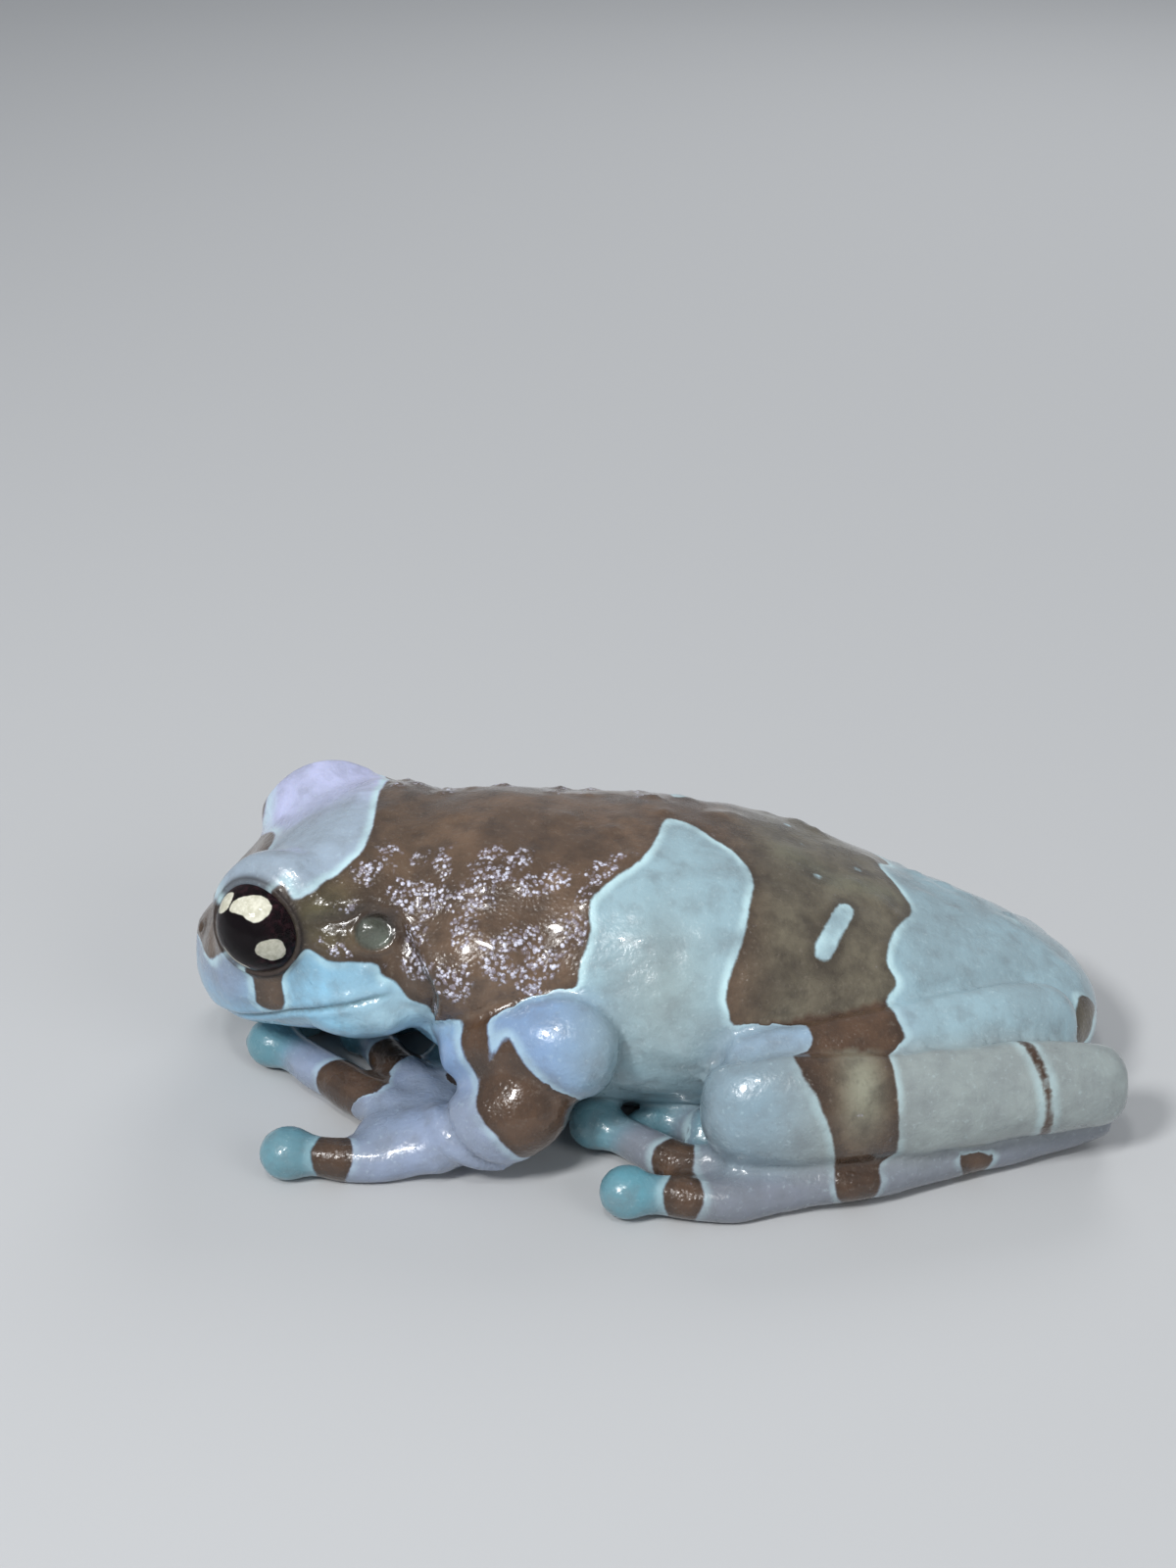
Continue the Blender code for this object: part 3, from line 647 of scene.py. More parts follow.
TAIL_SPOTS = (
    ((25.5, -3.1), (25.7, -3.1), 0.40),
    ((30.4, 8.0), (29.6, 13.8), 0.75),
    ((30.4, -8.0), (29.6, -13.8), 0.75),
)
BROW_FIELD = (
    (9.8, 7.8), (10.8, 8.6), (12.5, 10.5), (14.0, 10.8), (15.1, 9.8), (15.3, 8.0), (14.4, 5.5), (13.5, 3.0),
    (13.0, 0.0), (13.4, -3.0), (14.2, -5.5), (14.9, -8.0), (15.1, -9.8), (14.0, -11.0), (12.5, -10.5),
    (10.8, -9.4), (9.2, -9.4), (7.6, -9.2), (6.4, -7.6), (5.9, -5.6), (5.8, -3.6), (5.7, -1.4), (5.3, 1.5),
    (5.2, 3.7), (5.3, 5.2), (6.2, 6.4), (6.6, 7.0), (7.4, 7.6), (7.9, 8.4), (8.6, 8.7), (9.2, 8.2),
)
JAW_FIELD = (
    (30.0, 14.0), (16.8, 14.2), (16.0, 14.3), (14.5, 12.8), (13.4, 12.6), (12.9, 14.0), (12.4, 15.2),
    (12.1, 16.4), (11.5, 16.7), (10.2, 16.4), (9.6, 14.3), (8.1, 12.6), (7.3, 12.1), (6.6, 12.3), (5.1, 12.3),
    (4.1, 12.3), (3.4, 12.5), (3.3, 13.1), (2.3, 13.5), (1.4, 14.6), (0.3, 14.9), (-0.3, 16.5), (-3.0, 18.5),
    (-9.0, 19.5), (-9.0, 45.0), (30.0, 45.0),
)
CHEST_FIELD = (
    (-22.0, 17.8), (-14.6, 16.9), (-13.4, 16.2), (-12.4, 15.6), (-11.8, 17.0), (-9.0, 19.0), (-3.0, 19.0),
    (-3.0, 40.0), (-22.0, 40.0),
)
ARM_PATCHES = (
    (
        (3.5, 2.2), (3.5, 3.4), (3.8, 4.5), (4.0, 5.6), (4.5, 6.5), (5.2, 5.0), (5.5, 3.7), (5.2, 1.9),
        (5.0, -3.0), (3.4, -3.0),
    ),
    (
        (6.6, 2.9), (7.2, 4.1), (7.7, 5.2), (8.4, 6.4), (9.2, 7.5), (10.2, 9.0), (10.6, 14.0), (3.0, 14.0),
        (4.0, 8.0), (4.6, 6.7), (5.6, 4.8), (6.15, 3.8),
    ),
)
FOREARM_PATCH = (
    (-5.0, -14.0), (7.2, -14.0), (7.4, 0.7), (7.6, 1.8), (7.5, 2.8), (7.1, 3.9), (6.6, 5.5), (6.3, 7.8),
    (5.8, 9.5), (5.2, 14.0), (-5.0, 14.0),
)
THIGH_BAND = ((14.9, -14.0), (14.8, 1.4), (14.2, 3.4), (14.0, 14.0), (21.0, 14.0), (20.6, 2.0), (21.0, -14.0))
SHANK_BAND = (
    (5.6, -14.0), (5.6, -2.0), (6.1, 1.5), (6.8, 2.7), (8.0, 5.8), (8.8, 10.0), (9.0, 14.0),
    (12.4, 14.0), (12.4, 8.0), (12.3, 5.0), (12.2, 1.9), (12.0, -2.0), (11.8, -14.0),
)
SHANK_ARC = (
    (18.6, -10.0), (20.0, -3.5), (20.9, -1.0), (21.5, 1.2), (22.1, 3.8), (22.4, 8.7), (22.6, 14.0),
    (23.3, 14.0), (23.2, 8.4), (22.7, 3.6), (22.3, 1.2), (21.6, -1.2), (20.8, -3.7), (19.4, -10.0),
)
DIGIT_LINES = {
    "hand": (
        ((-12.8, -10.8, 1.7), (-14.0, -6.2, 1.4), (-14.9, -2.4, 1.5)),
        ((-14.4, -10.8, 2.0), (-17.6, -4.8, 1.9), (-21.0, 1.0, 1.7)),
        ((-15.6, -11.6, 2.0), (-21.4, -6.0, 1.6), (-27.1, -0.5, 1.8)),
        ((-15.0, -13.6, 1.7), (-19.6, -14.0, 1.3), (-24.7, -13.7, 1.6)),
    ),
    "foot": (
        ((12.6, -13.4, 1.6), (9.6, -11.8, 1.3), (7.4, -11.0, 1.4)),
        ((11.0, -14.2, 1.6), (6.6, -12.0, 1.3), (3.2, -11.1, 1.5)),
        ((9.4, -14.6, 1.7), (4.4, -11.6, 1.3), (-0.6, -9.4, 1.5)),
        ((8.0, -16.0, 1.7), (1.2, -14.8, 1.5), (-4.3, -10.7, 1.9)),
        ((9.6, -16.9, 1.5), (3.8, -18.4, 1.3), (-2.2, -18.1, 1.7)),
    ),
}
DIGIT_BANDS = {
    "hand": ((3.0, 5.4), (3.6, 6.6), (6.1, 11.4), (1.7, 4.0)),
    "foot": ((2.6, 4.4), (3.0, 5.0), (3.2, 5.2), (5.5, 7.7), (2.3, 4.4)),
}
PAD_SCALE = {"hand": (0.84, 0.95, 1.0, 0.97), "foot": (0.78, 0.86, 0.74, 0.96, 0.95)}
PAD_LENGTH = 2.08
DIGIT_RADIUS = 1.5
FOOT_BARS = ((9.8, 11.9), (18.0, 20.2))
ALL_PALE = 3.0
ALL_BROWN = -4.0
LIMB_RIM = 0.5


def depth_in(first, second, outline):
    """How far inside an outline each place lies; below zero outside it."""
    ring = rounded(outline)
    best = np.full(len(first), 1e9)
    inside = np.zeros(len(first), dtype=bool)
    for (a, b), (c, d) in zip(ring, np.roll(ring, -1, axis=0)):
        length = max((c - a) ** 2 + (d - b) ** 2, 1e-9)
        share = np.clip(((first - a) * (c - a) + (second - b) * (d - b)) / length, 0, 1)
        best = np.minimum(best, (first - a - share * (c - a)) ** 2 + (second - b - share * (d - b)) ** 2)
        if d != b:
            inside ^= ((b > second) != (d > second)) & (first < (c - a) * (second - b) / (d - b) + a)
    return np.where(inside, 1.0, -1.0) * np.sqrt(best)


def spot_depth(first, second, spot):
    """How far inside a round-ended spot each place lies."""
    start, end, radius = spot
    return radius - np.abs(from_line(first, second, (start, end)))


def tinted(total, colour):
    return np.tile(np.array(colour, dtype=float), (total, 1))


def blend(tints, colour, share):
    """Tints moved towards a colour, by a share for each place."""
    return tints + (np.array(colour) - tints) * share[:, None]


def widened(depths, region, added):
    """The depth in the pale fields once another is added, over one region of the body."""
    return np.where(region, np.maximum(depths, added), depths)


PALE_BODY = (0.315, 0.460, 0.520)
PALE_LAVENDER = (0.54, 0.57, 0.83)
PALE_BROW = (0.345, 0.430, 0.525)
PALE_CYAN = (0.26, 0.54, 0.74)
PALE_GAPE = (0.48, 0.72, 0.82)
PALE_SNOUT = (0.235, 0.32, 0.46)
PALE_ARM = (0.22, 0.34, 0.54)
PALE_THIGH = (0.285, 0.405, 0.530)
PALE_LEG = (0.295, 0.340, 0.335)
PALE_KNEE = (0.235, 0.335, 0.40)
PALE_HAND = (0.275, 0.335, 0.470)
# The feet's pale tint is greyer than the legs' and also darkened, as painted shade under the body
PALE_FOOT_GREY_SHADED = (0.195, 0.215, 0.260)
PAD_TEAL = (0.115, 0.305, 0.375)
BROWN_BACK = (0.155, 0.098, 0.062)
BROWN_HEAD = (0.125, 0.080, 0.050)
BROWN_OLIVE = (0.120, 0.115, 0.052)
BROWN_LIMB = (0.098, 0.055, 0.032)
BROWN_LOINS = (0.158, 0.150, 0.108)
GREEN_TINGE = (0.130, 0.165, 0.095)
GREY_TINGE = (0.30, 0.34, 0.31)
OLIVE_BAND = (0.32, 0.33, 0.25)
LID_SHADE_BROWN = (0.012, 0.008, 0.010)
LID_SHADE_BLACK = (0.012, 0.010, 0.014)
FOLD_SHADE_BROWN = (0.045, 0.028, 0.020)
EARDRUM_GREEN = (0.155, 0.195, 0.160)
EARDRUM_SHADE = (0.020, 0.014, 0.012)
NOSTRIL_SHADE = (0.01, 0.008, 0.008)
MOUTH_TEAL = (0.05, 0.16, 0.20)

total = len(points)
along, around = girth_of(plain_points)
head_along, head_round = head_girth_of(plain_points)
pale = np.full(total, ALL_BROWN)
pale_tint = tinted(total, PALE_BODY)
brown_tint = tinted(total, BROWN_BACK)
rim_strength = np.ones(total)

for side, stretch, slide, drop in ((-1, 1.0, 0.0, 0.0), (1, 0.92, 0.9, 6.8)):
    facing = around * -side
    pale = widened(pale, on_trunk, depth_in(along / stretch - slide, facing - drop, FLANK_FIELD))
pale = widened(pale, on_trunk, depth_in(along, around, RUMP_FIELD))
for spot in BACK_SPOTS:
    pale = widened(pale, on_trunk, spot_depth(along, around, spot))
for spot in TAIL_SPOTS:
    pale = np.where(on_trunk, np.minimum(pale, -spot_depth(along, around, spot)), pale)
belly = np.abs(around) - 23.0 - 1.2 * np.sin(along * 0.55)
pale = widened(pale, on_torso, belly)
pale = widened(pale, on_torso, depth_in(along, np.abs(around), CHEST_FIELD))
pale = widened(pale, on_trunk, depth_in(head_along, head_round, BROW_FIELD))
pale = widened(pale, on_trunk, depth_in(head_along, np.abs(head_round), JAW_FIELD))

brown_tint = blend(brown_tint, BROWN_HEAD, on_trunk * ramp(-3.0, 3.0, head_along))
olive = on_head * bell(np.hypot(head_along - 7.2, np.abs(head_round) - 9.8), 2.2)
brown_tint = blend(brown_tint, BROWN_OLIVE, 0.8 * olive)
green = on_torso * bell(from_line(along, around, ((9.7, 0.8), (12.5, 2.7), (16.2, 2.0))), 1.3)
brown_tint = blend(brown_tint, GREEN_TINGE, 0.6 * green)
brown_tint = blend(brown_tint, BROWN_LOINS, 0.75 * on_torso * ramp(4.0, 9.0, along))

pale_tint = blend(pale_tint, PALE_BROW, on_head * (1 - ramp(9.0, 12.0, np.abs(head_round))))
lavender = on_head * ramp(-1.0, 6.0, -head_round) * (1 - ramp(9.0, 12.0, np.abs(head_round)))
pale_tint = blend(pale_tint, PALE_LAVENDER, lavender)
cheek = on_trunk * ramp(10.5, 12.5, np.abs(head_round)) * ramp(-9.0, 2.0, head_along)
pale_tint = blend(pale_tint, PALE_CYAN, cheek)
gape = on_trunk * bell(np.hypot((head_along - 2.6) / 3.4, (np.abs(head_round) - 15.6) / 2.0), 1.0)
pale_tint = blend(pale_tint, PALE_GAPE, 0.75 * gape)
snout = on_head * ramp(10.5, 14.0, head_along) * ramp(10.0, 12.0, np.abs(head_round))
snout *= 1 - ramp(15.5, 19.0, np.abs(head_round)) * 0.7
pale_tint = blend(pale_tint, PALE_SNOUT, snout)
grey = on_torso * bell(np.hypot((along - 0.8) / 3.2, (np.abs(around) - 13.5) / 4.5), 1.0)
pale_tint = blend(pale_tint, GREY_TINGE, 0.55 * grey)

for number, name in enumerate(flesh):
    if name in ("head", "torso"):
        continue
    kind, label = name.rsplit("_", 1)
    side = -1 if label == "left" else 1
    mine = np.flatnonzero(owner == number)
    here = plain_points[mine]
    line = [placed(kind, point, side) for point in LIMB_LINES[kind]]
    down, about, off, _ = along_limb(here, line, LIMB_RADIUS, side)
    if side > 0:
        down = down * 0.97 + 0.5
    field = np.full(len(mine), ALL_PALE)
    tint = tinted(len(mine), PALE_LEG)
    ground = tinted(len(mine), BROWN_LIMB)
    rim = np.full(len(mine), LIMB_RIM)
    if kind == "upper_arm":
        for patch in ARM_PATCHES:
            field = np.minimum(field, -depth_in(down, about, patch))
        tint = blend(tinted(len(mine), PALE_ARM), PALE_BODY, ramp(8.0, 13.0, down))
    elif kind == "forearm":
        field = np.minimum(field, -depth_in(down, about, FOREARM_PATCH))
        tint = tinted(len(mine), PALE_HAND)
    elif kind == "thigh":
        field = np.minimum(field, -depth_in(down, about, THIGH_BAND))
        tint = blend(tinted(len(mine), PALE_BODY), PALE_THIGH, ramp(12.0, 20.0, down))
        rim = LIMB_RIM * (1 - ramp(17.5, 19.5, down))
    elif kind == "shank":
        field = np.minimum(field, -depth_in(down, about, SHANK_BAND))
        field = np.minimum(field, -depth_in(down, about, SHANK_ARC))
        tint = blend(tinted(len(mine), PALE_KNEE), PALE_LEG, ramp(3.0, 9.0, down))
        lighter = bell(np.hypot((down - 9.9) / 1.6, (about - 2.4) / 3.4), 1.0)
        ground = blend(ground, OLIVE_BAND, 0.78 * lighter)
    else:
        tint = tinted(len(mine), PALE_HAND if kind == "hand" else PALE_FOOT_GREY_SHADED)
        if kind == "foot":
            for low, high in FOOT_BARS:
                bar = np.minimum(down - low, high - down) - 0.25 * np.sin(about)
                field = np.minimum(field, np.where(off < 3.2, -bar, ALL_PALE))
        closest = off * 0.75
        teal = np.zeros(len(mine))
        for row, band, scale in zip(DIGIT_LINES[kind], DIGIT_BANDS[kind], PAD_SCALE[kind]):
            line = [placed(kind, point, side) for point in row]
            down, about, off, length = along_limb(here, line, DIGIT_RADIUS, side)
            from_tip = length - down
            held = (off < closest) & (down > 0.2)
            bar = np.minimum(from_tip - band[0], band[1] - from_tip) + 0.25 * np.sin(about * 1.3)
            field = np.where(held, -bar, field)
            pad = PAD_LENGTH * scale
            teal = np.where(off < closest, 1 - ramp(pad * 0.85, pad * 1.40, from_tip), teal)
            closest = np.minimum(closest, off)
        tint = blend(tint, PAD_TEAL, teal)
    rim_strength[mine] = rim
    pale[mine] = field
    pale_tint[mine] = tint
    brown_tint[mine] = ground

pale_tint = drawn_in(pale_tint, edges, 0.5, 12)
# Painted shade: a dark line along the edge of each lid, where it meets the eye
lid_painted_shade = 0.9 * bell(lid_edge - 0.10, 0.34)
brown_tint = blend(brown_tint, LID_SHADE_BROWN, lid_painted_shade)
pale_tint = blend(pale_tint, LID_SHADE_BLACK, lid_painted_shade)
# Painted shade in the groove of the fold behind the eardrum
brown_tint = blend(brown_tint, FOLD_SHADE_BROWN, 0.70 * fold * bell(off_fold + 0.15, 0.60))
brown_tint = blend(brown_tint, EARDRUM_GREEN, 0.85 * ear_share)
brown_tint = blend(brown_tint, EARDRUM_SHADE, 0.85 * ear_shade)
# Painted shade: each nostril is darkened inside its hollow
brown_tint = blend(brown_tint, NOSTRIL_SHADE, nostril_shade)
pale_tint = blend(pale_tint, MOUTH_TEAL, 0.75 * mouth * bell(above_mouth, 0.16))

pale = np.clip(drawn_in(pale[:, None], edges, 0.5, 3)[:, 0], ALL_BROWN, -ALL_BROWN)
wart_share *= (1 - ramp(-0.6, 0.1, pale)) * ramp(2.0, 6.5, np.abs(around))
for side in (-1, 1):
    wart_share *= ramp(EAR_RADIUS, EAR_RADIUS + 0.8, np.linalg.norm(plain_points - ears[side], axis=1))


def store(piece, name, values):
    """Keeps one number or one colour for each vertex, for the material to read."""
    if values.ndim == 1:
        made = piece.data.attributes.new(name, "FLOAT", "POINT")
        made.data.foreach_set("value", values.astype(np.float32))
        return
    colours = np.concatenate((values, np.ones((len(values), 1))), axis=1)
    made = piece.data.attributes.new(name, "FLOAT_COLOR", "POINT")
    made.data.foreach_set("color", colours.astype(np.float32).ravel())


store(skin, "pale", pale)
store(skin, "pale_tint", pale_tint)
store(skin, "brown_tint", brown_tint)
store(skin, "warts", wart_share)
store(skin, "lid_shade", bell(lid_edge - 0.10, 0.38))
store(skin, "rim_strength", drawn_in(rim_strength[:, None], edges, 0.5, 6)[:, 0])


class Wire:
    """One output of a material's nodes, which ordinary sums can be written with."""

    def __init__(self, finish, socket):
        self.finish = finish
        self.socket = socket

    def math(self, operation, *values):
        inputs = dict(enumerate((self, *values)))
        return self.finish.node("ShaderNodeMath", {"operation": operation}, inputs)

    def __add__(self, other):
        return self.math("ADD", other)

    __radd__ = __add__

    def __mul__(self, other):
        return self.math("MULTIPLY", other)

    __rmul__ = __mul__

    def __sub__(self, other):
        return self.math("SUBTRACT", other)

    def __rsub__(self, other):
        return (self * -1.0) + other

    def ramp(self, low, high):
        inputs = {"Value": self, "From Min": low, "From Max": high}
        return self.finish.node("ShaderNodeMapRange", {"interpolation_type": "SMOOTHSTEP"}, inputs)


class Finish:
    """A material whose nodes are made one by one."""

    def __init__(self, name):
        self.material = bpy.data.materials.new(name)
        self.material.use_nodes = True
        self.tree = self.material.node_tree
        self.shader = self.tree.nodes["Principled BSDF"]

    def node(self, kind, settings, inputs, output=0):
        """One node: its settings, then the values or wires of its inputs, and the output that is used."""
        made = self.tree.nodes.new(kind)
        for name, value in settings.items():
            setattr(made, name, value)
        for name, value in inputs.items():
            self.plug(made.inputs[name], value)
        return Wire(self, made.outputs[output])

    def plug(self, socket, value):
        if isinstance(value, Wire):
            self.tree.links.new(value.socket, socket)
        elif isinstance(value, tuple) and len(value) == 3 and socket.type == "RGBA":
            socket.default_value = (*value, 1.0)
        else:
            socket.default_value = value

    def surface(self, **inputs):
        for name, value in inputs.items():
            self.plug(self.shader.inputs[name.replace("_", " ")], value)

    def kept(self, name, colour=False):
        """What the piece keeps for each vertex under this name."""
        return self.node("ShaderNodeAttribute", {"attribute_name": name}, {}, "Color" if colour else "Fac")

    def noise(self, place, scale, detail=2.0, roughness=0.5):
        inputs = {"Vector": place, "Scale": scale, "Detail": detail, "Roughness": roughness}
        return self.node("ShaderNodeTexNoise", {}, inputs)

    def cells(self, place, scale):
        return self.node("ShaderNodeTexVoronoi", {}, {"Vector": place, "Scale": scale})

    def mix(self, first, second, share):
        """Two colours mixed: inputs 6 and 7 of the node are its colours, and output 2 the result."""
        return self.node("ShaderNodeMix", {"data_type": "RGBA"}, {0: share, 6: first, 7: second}, 2)


# The hide close up: a thin, moist skin that lets a little light in, with fine grain on a mottled
# ground, pearly warts over the shoulders with painted glints on some granules, and a wet gloss. Pale
# fields have a white edge.
hide = Finish("moist_skin")
place = hide.node("ShaderNodeTexCoord", {}, {}, "Object")
edge = hide.kept("pale") + (hide.noise(place, 1300.0, 3.0, 0.6) - 0.5) * 0.26
light = edge.ramp(-0.10, 0.10)
white_rim = edge.ramp(-0.04, 0.14) * (1 - edge.ramp(0.16, 0.75))
dark_rim = edge.ramp(-0.9, -0.1) * (1 - edge.ramp(-0.1, 0.1))
cloud = hide.noise(place, 230.0, 3.0, 0.55)
mottle = hide.noise(place, 620.0, 4.0, 0.6)
fleck = hide.noise(place, 2600.0, 3.0, 0.65)
pore = hide.cells(place, 2700.0)
pearls = hide.cells(place, 3300.0)
pearl_choice = hide.noise(place, 900.0, 2.0, 0.6)
warts = hide.kept("warts")
lid_shade = hide.kept("lid_shade")

pale_skin = hide.mix(hide.kept("pale_tint", True), (0.17, 0.19, 0.20), (1 - cloud.ramp(0.38, 0.66)) * 0.32)
pale_skin = hide.mix(pale_skin, (0.14, 0.15, 0.16), (1 - mottle.ramp(0.28, 0.56)) * 0.30)
pale_skin = hide.mix(pale_skin, (0.60, 0.76, 0.80), fleck.ramp(0.56, 0.78) * 0.22)
whitened = white_rim * cloud.ramp(0.30, 0.62) * hide.kept("rim_strength") * 0.80
pale_skin = hide.mix(pale_skin, (0.56, 0.78, 0.82), whitened)
clouded = (1 - cloud.ramp(0.36, 0.62)) * 0.45
brown_skin = hide.mix(hide.kept("brown_tint", True), (0.025, 0.016, 0.012), clouded)
brown_skin = hide.mix(brown_skin, (0.028, 0.020, 0.016), (1 - mottle.ramp(0.30, 0.60)) * 0.45)
brown_skin = hide.mix(brown_skin, (0.022, 0.014, 0.010), dark_rim * 0.35)
brown_skin = hide.mix(brown_skin, (0.26, 0.22, 0.18), fleck.ramp(0.54, 0.80) * 0.28)
patch = (warts + (pearl_choice - 0.5) * 2.2).ramp(0.45, 0.85)
pearl = (1 - pearls.ramp(0.30, 0.62)) * patch
# Painted glints: the brightest granules are whitened as if they caught the lamps
glint = pearl * fleck.ramp(0.46, 0.58)
skin_colour = hide.mix(brown_skin, pale_skin, light)
skin_colour = hide.mix(skin_colour, (0.34, 0.31, 0.38), pearl * (1 - light) * 0.60)
skin_colour = hide.mix(skin_colour, (0.74, 0.76, 0.90), glint * (1 - light * 0.6) * 0.85)

fine = (1 - pore.ramp(0.10, 0.55)) * (1 - light * 0.6)
grain = (1 - pearls.ramp(0.05, 0.65)) * patch * (1 - light * 0.5)
height = fine * 0.22 + grain * 0.5 + mottle * 1.5 + fleck * 0.12
bump = hide.node("ShaderNodeBump", {}, {"Height": height, "Strength": 0.8, "Distance": 0.00012})
hide.surface(
    Base_Color=skin_colour,
    Roughness=0.20 + cloud * 0.16 + lid_shade * 0.35,
    Normal=bump,
    Subsurface_Weight=0.10,
    Subsurface_Scale=0.0008,
    Subsurface_Radius=(1.0, 0.8, 0.7),
    Coat_Weight=(0.70 - light * 0.15) * (1 - lid_shade * 0.9),
    Coat_Roughness=0.06,
    Coat_IOR=1.36,
)
skin.data.materials.clear()
skin.data.materials.append(hide.material)
skin.data.shade_smooth()
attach(skin, "root")
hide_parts(*flesh)

# The eyes: a dark ball with a gold iris parted by a black cross, under a clear, bulging cornea. Each
# is pressed into its socket as far as its lids, and looks out and a little forward.
IRIS_RADIUS = 3.33
CORNEA_BULGE = 0.09
LIMBUS = 78.0
PATTERN_RADIUS = 3.05
PUPIL_DEPTH = 0.10
GOLD_FIELDS = (
    (
        (-1.26, 1.07), (-1.17, 1.74), (-0.20, 2.49), (0.62, 2.73), (1.40, 2.36), (1.49, 1.75), (1.06, 1.10),
        (0.50, 0.99), (-0.23, 1.10), (-0.98, 0.94),
    ),
    ((-3.0, 0.8), (-2.7, 1.6), (-1.8, 2.0), (-1.42, 1.3), (-1.6, 0.72), (-2.5, 0.2)),
    (
        (1.31, -0.91), (1.42, -0.20), (2.07, 0.23), (2.72, 0.27), (3.17, -0.44), (3.11, -1.14),
        (2.44, -1.46), (1.69, -1.19),
    ),
    ((-1.5, -2.1), (-0.4, -2.85), (0.6, -3.1), (0.5, -2.7), (-0.3, -2.45), (-1.3, -1.85)),
)

iris = Finish("gold_iris")
place = iris.node("ShaderNodeTexCoord", {}, {}, "Object")
vein = iris.noise(place, 2400.0, 4.0, 0.65)
gold = (iris.kept("gold") + (vein - 0.5) * 0.16).ramp(-0.03, 0.05)
ring = iris.kept("ring")
# The outer iris is near black with a faint purple sheen painted in, varied by the veins
dark_iris_and_sheen = iris.mix((0.004, 0.002, 0.003), (0.030, 0.010, 0.014), ring * vein.ramp(0.42, 0.7))
gold_colour = iris.mix((0.55, 0.54, 0.43), (0.72, 0.71, 0.61), vein.ramp(0.35, 0.65))
iris.surface(
    Base_Color=iris.mix(dark_iris_and_sheen, gold_colour, gold),
    Roughness=0.6,
    Normal=iris.node("ShaderNodeBump", {}, {"Height": vein, "Strength": 0.3, "Distance": 0.00004}),
    Specular_IOR_Level=0.05,
)

cornea = Finish("clear_cornea")
gloss = cornea.node("ShaderNodeBsdfGlossy", {}, {"Color": (1.0, 1.0, 1.0), "Roughness": 0.015})
clear = cornea.node("ShaderNodeBsdfTransparent", {}, {"Color": (1.0, 1.0, 1.0)})
mirror = cornea.node("ShaderNodeFresnel", {}, {"IOR": 1.33}) * 0.6
wet = cornea.node("ShaderNodeMixShader", {}, {0: mirror, 1: clear, 2: gloss})
cornea.tree.nodes.remove(cornea.shader)
cornea.tree.links.new(wet.socket, cornea.tree.nodes["Material Output"].inputs["Surface"])

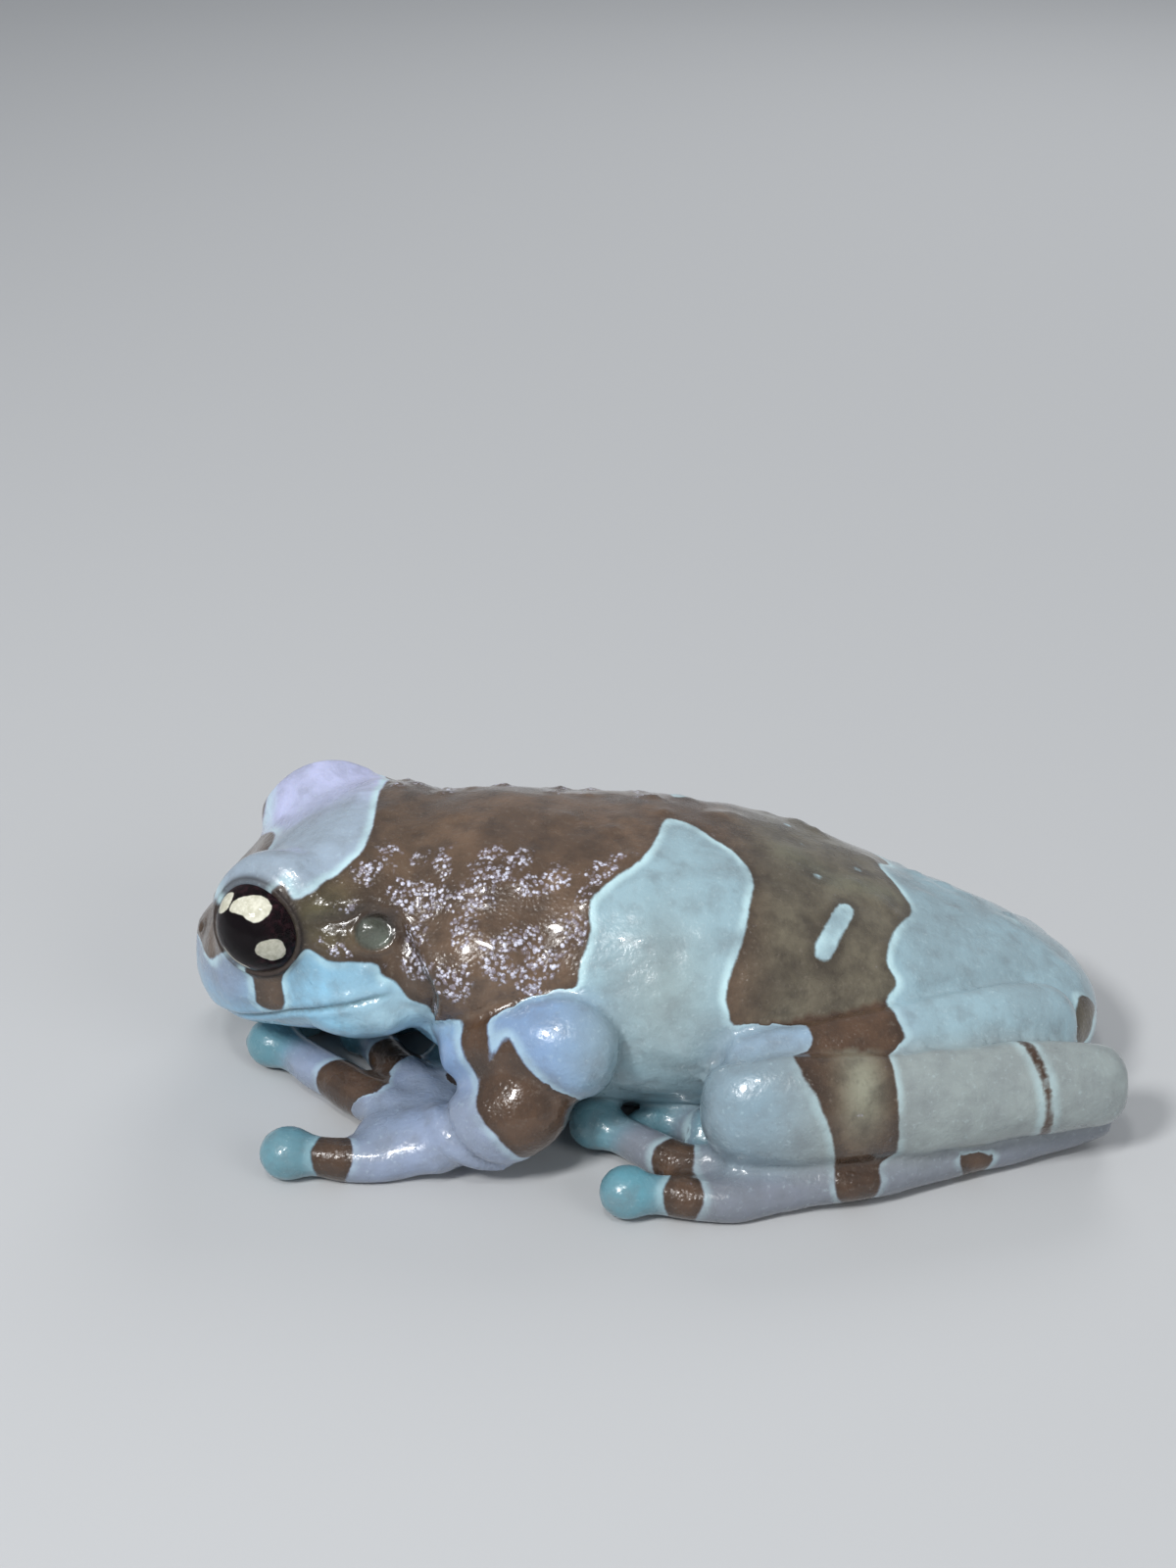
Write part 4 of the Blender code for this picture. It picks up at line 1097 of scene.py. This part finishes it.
for side, label in ((-1, "left"), (1, "right")):
    middle = head_point(EYE_PLACE[0], side * EYE_PLACE[1], EYE_PLACE[2])
    gaze = head_turned((-0.358, 0.902 * side, 0.240))
    rearward = head_turned((0.908, 0.397 * side, -0.136))
    rearward -= gaze * (rearward @ gaze)
    rearward /= np.linalg.norm(rearward)
    upward = np.cross(gaze, rearward)
    upward *= np.sign(upward[2])
    for part, finish, segments, rings in (("ball", iris, 128, 96), ("cornea", cornea, 72, 48)):
        bpy.ops.object.select_all(action="DESELECT")
        bpy.ops.mesh.primitive_uv_sphere_add(segments=segments, ring_count=rings, radius=EYE_RADIUS * MM)
        piece = bpy.context.object
        piece.name = f"eye_{label}_{part}"
        local = points_of(piece)
        unit = local / np.linalg.norm(local, axis=1)[:, None]
        tilt = np.degrees(np.arccos(np.clip(unit[:, 2], -1, 1)))
        if part == "ball":
            spread = np.radians(tilt) * PATTERN_RADIUS / np.maximum(np.hypot(unit[:, 0], unit[:, 1]), 1e-6)
            across, upwards = unit[:, 0] * spread, unit[:, 1] * spread
            gold_depth = np.max([depth_in(across, upwards, field) for field in GOLD_FIELDS], axis=0)
            pupil = 1 - ramp(0.8, 1.15, np.hypot((across + 0.45) / 1.5, (upwards + 0.35) / 1.25))
            reach = IRIS_RADIUS + (EYE_RADIUS - 0.03 - IRIS_RADIUS) * ramp(LIMBUS - 8, LIMBUS + 4, tilt)
            reach -= PUPIL_DEPTH * pupil
            store(piece, "gold", gold_depth)
            store(piece, "ring", ramp(1.4, 2.4, np.hypot(across, upwards)))
        else:
            reach = EYE_RADIUS + CORNEA_BULGE * (1 - ramp(8.0, 66.0, tilt))
            reach = reach - 0.25 * ramp(LIMBUS + 6, LIMBUS + 14, tilt)
        frame_axes = np.stack((rearward, upward, gaze))
        set_points(piece, middle + (unit * reach[:, None]) @ frame_axes)
        bpy.ops.object.mode_set(mode="EDIT")
        bpy.ops.mesh.select_all(action="SELECT")
        bpy.ops.mesh.normals_make_consistent(inside=False)
        bpy.ops.object.mode_set(mode="OBJECT")
        piece.data.materials.append(finish.material)
        piece.data.shade_smooth()
        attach(piece, "root")
        if part == "ball":
            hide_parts("eye_" + label)

# The floor is plain, pale paper. Two small lamps make the highlights, two broad ones fill the shadows
# without showing in the gloss, and the camera looks down on the left side.
bpy.ops.object.select_all(action="DESELECT")
bpy.ops.mesh.primitive_plane_add(size=4.0, location=(0.0, 0.0, -0.00004))
floor = bpy.context.object
floor.name = "floor"
paper = Finish("pale_paper")
paper.surface(Base_Color=(0.50, 0.51, 0.52), Roughness=0.9)
floor.data.materials.append(paper.material)

world = bpy.data.worlds.new("studio")
bpy.context.scene.world = world
world.use_nodes = True
world.node_tree.nodes["Background"].inputs["Color"].default_value = (0.86, 0.90, 0.96, 1.0)
world.node_tree.nodes["Background"].inputs["Strength"].default_value = 0.36
bpy.context.scene.view_settings.view_transform = "Standard"

# Each lamp's name, place, size and power, and whether it is seen in the gloss
for name, place, size, power, seen in (
    ("key", (-0.21, -0.29, 0.34), 0.09, 1.55, True),
    ("spark", (-0.07, -0.24, 0.42), 0.05, 0.40, True),
    ("fill", (0.30, -0.34, 0.26), 0.25, 0.5, False),
    ("rear", (0.12, 0.34, 0.30), 0.25, 0.55, False),
):
    lamp = bpy.data.lights.new(name, "AREA")
    lamp.shape = "DISK"
    lamp.size = size
    lamp.energy = power
    stand = bpy.data.objects.new(name, lamp)
    bpy.context.scene.collection.objects.link(stand)
    stand.location = place
    stand.visible_glossy = seen
    stand.rotation_euler = (Vector((0, 0, 0.008)) - Vector(place)).to_track_quat("-Z", "Y").to_euler()

view = bpy.data.cameras.new("camera")
view.sensor_width = 36.0
view.lens = 57.76
view.clip_start = 0.005
view.clip_end = 10.0
camera = bpy.data.objects.new("camera", view)
bpy.context.scene.collection.objects.link(camera)
camera.location = (-0.004151, -0.154365, 0.09938)
camera.rotation_euler = (math.radians(63.0), 0.0, 0.0)
bpy.context.scene.camera = camera
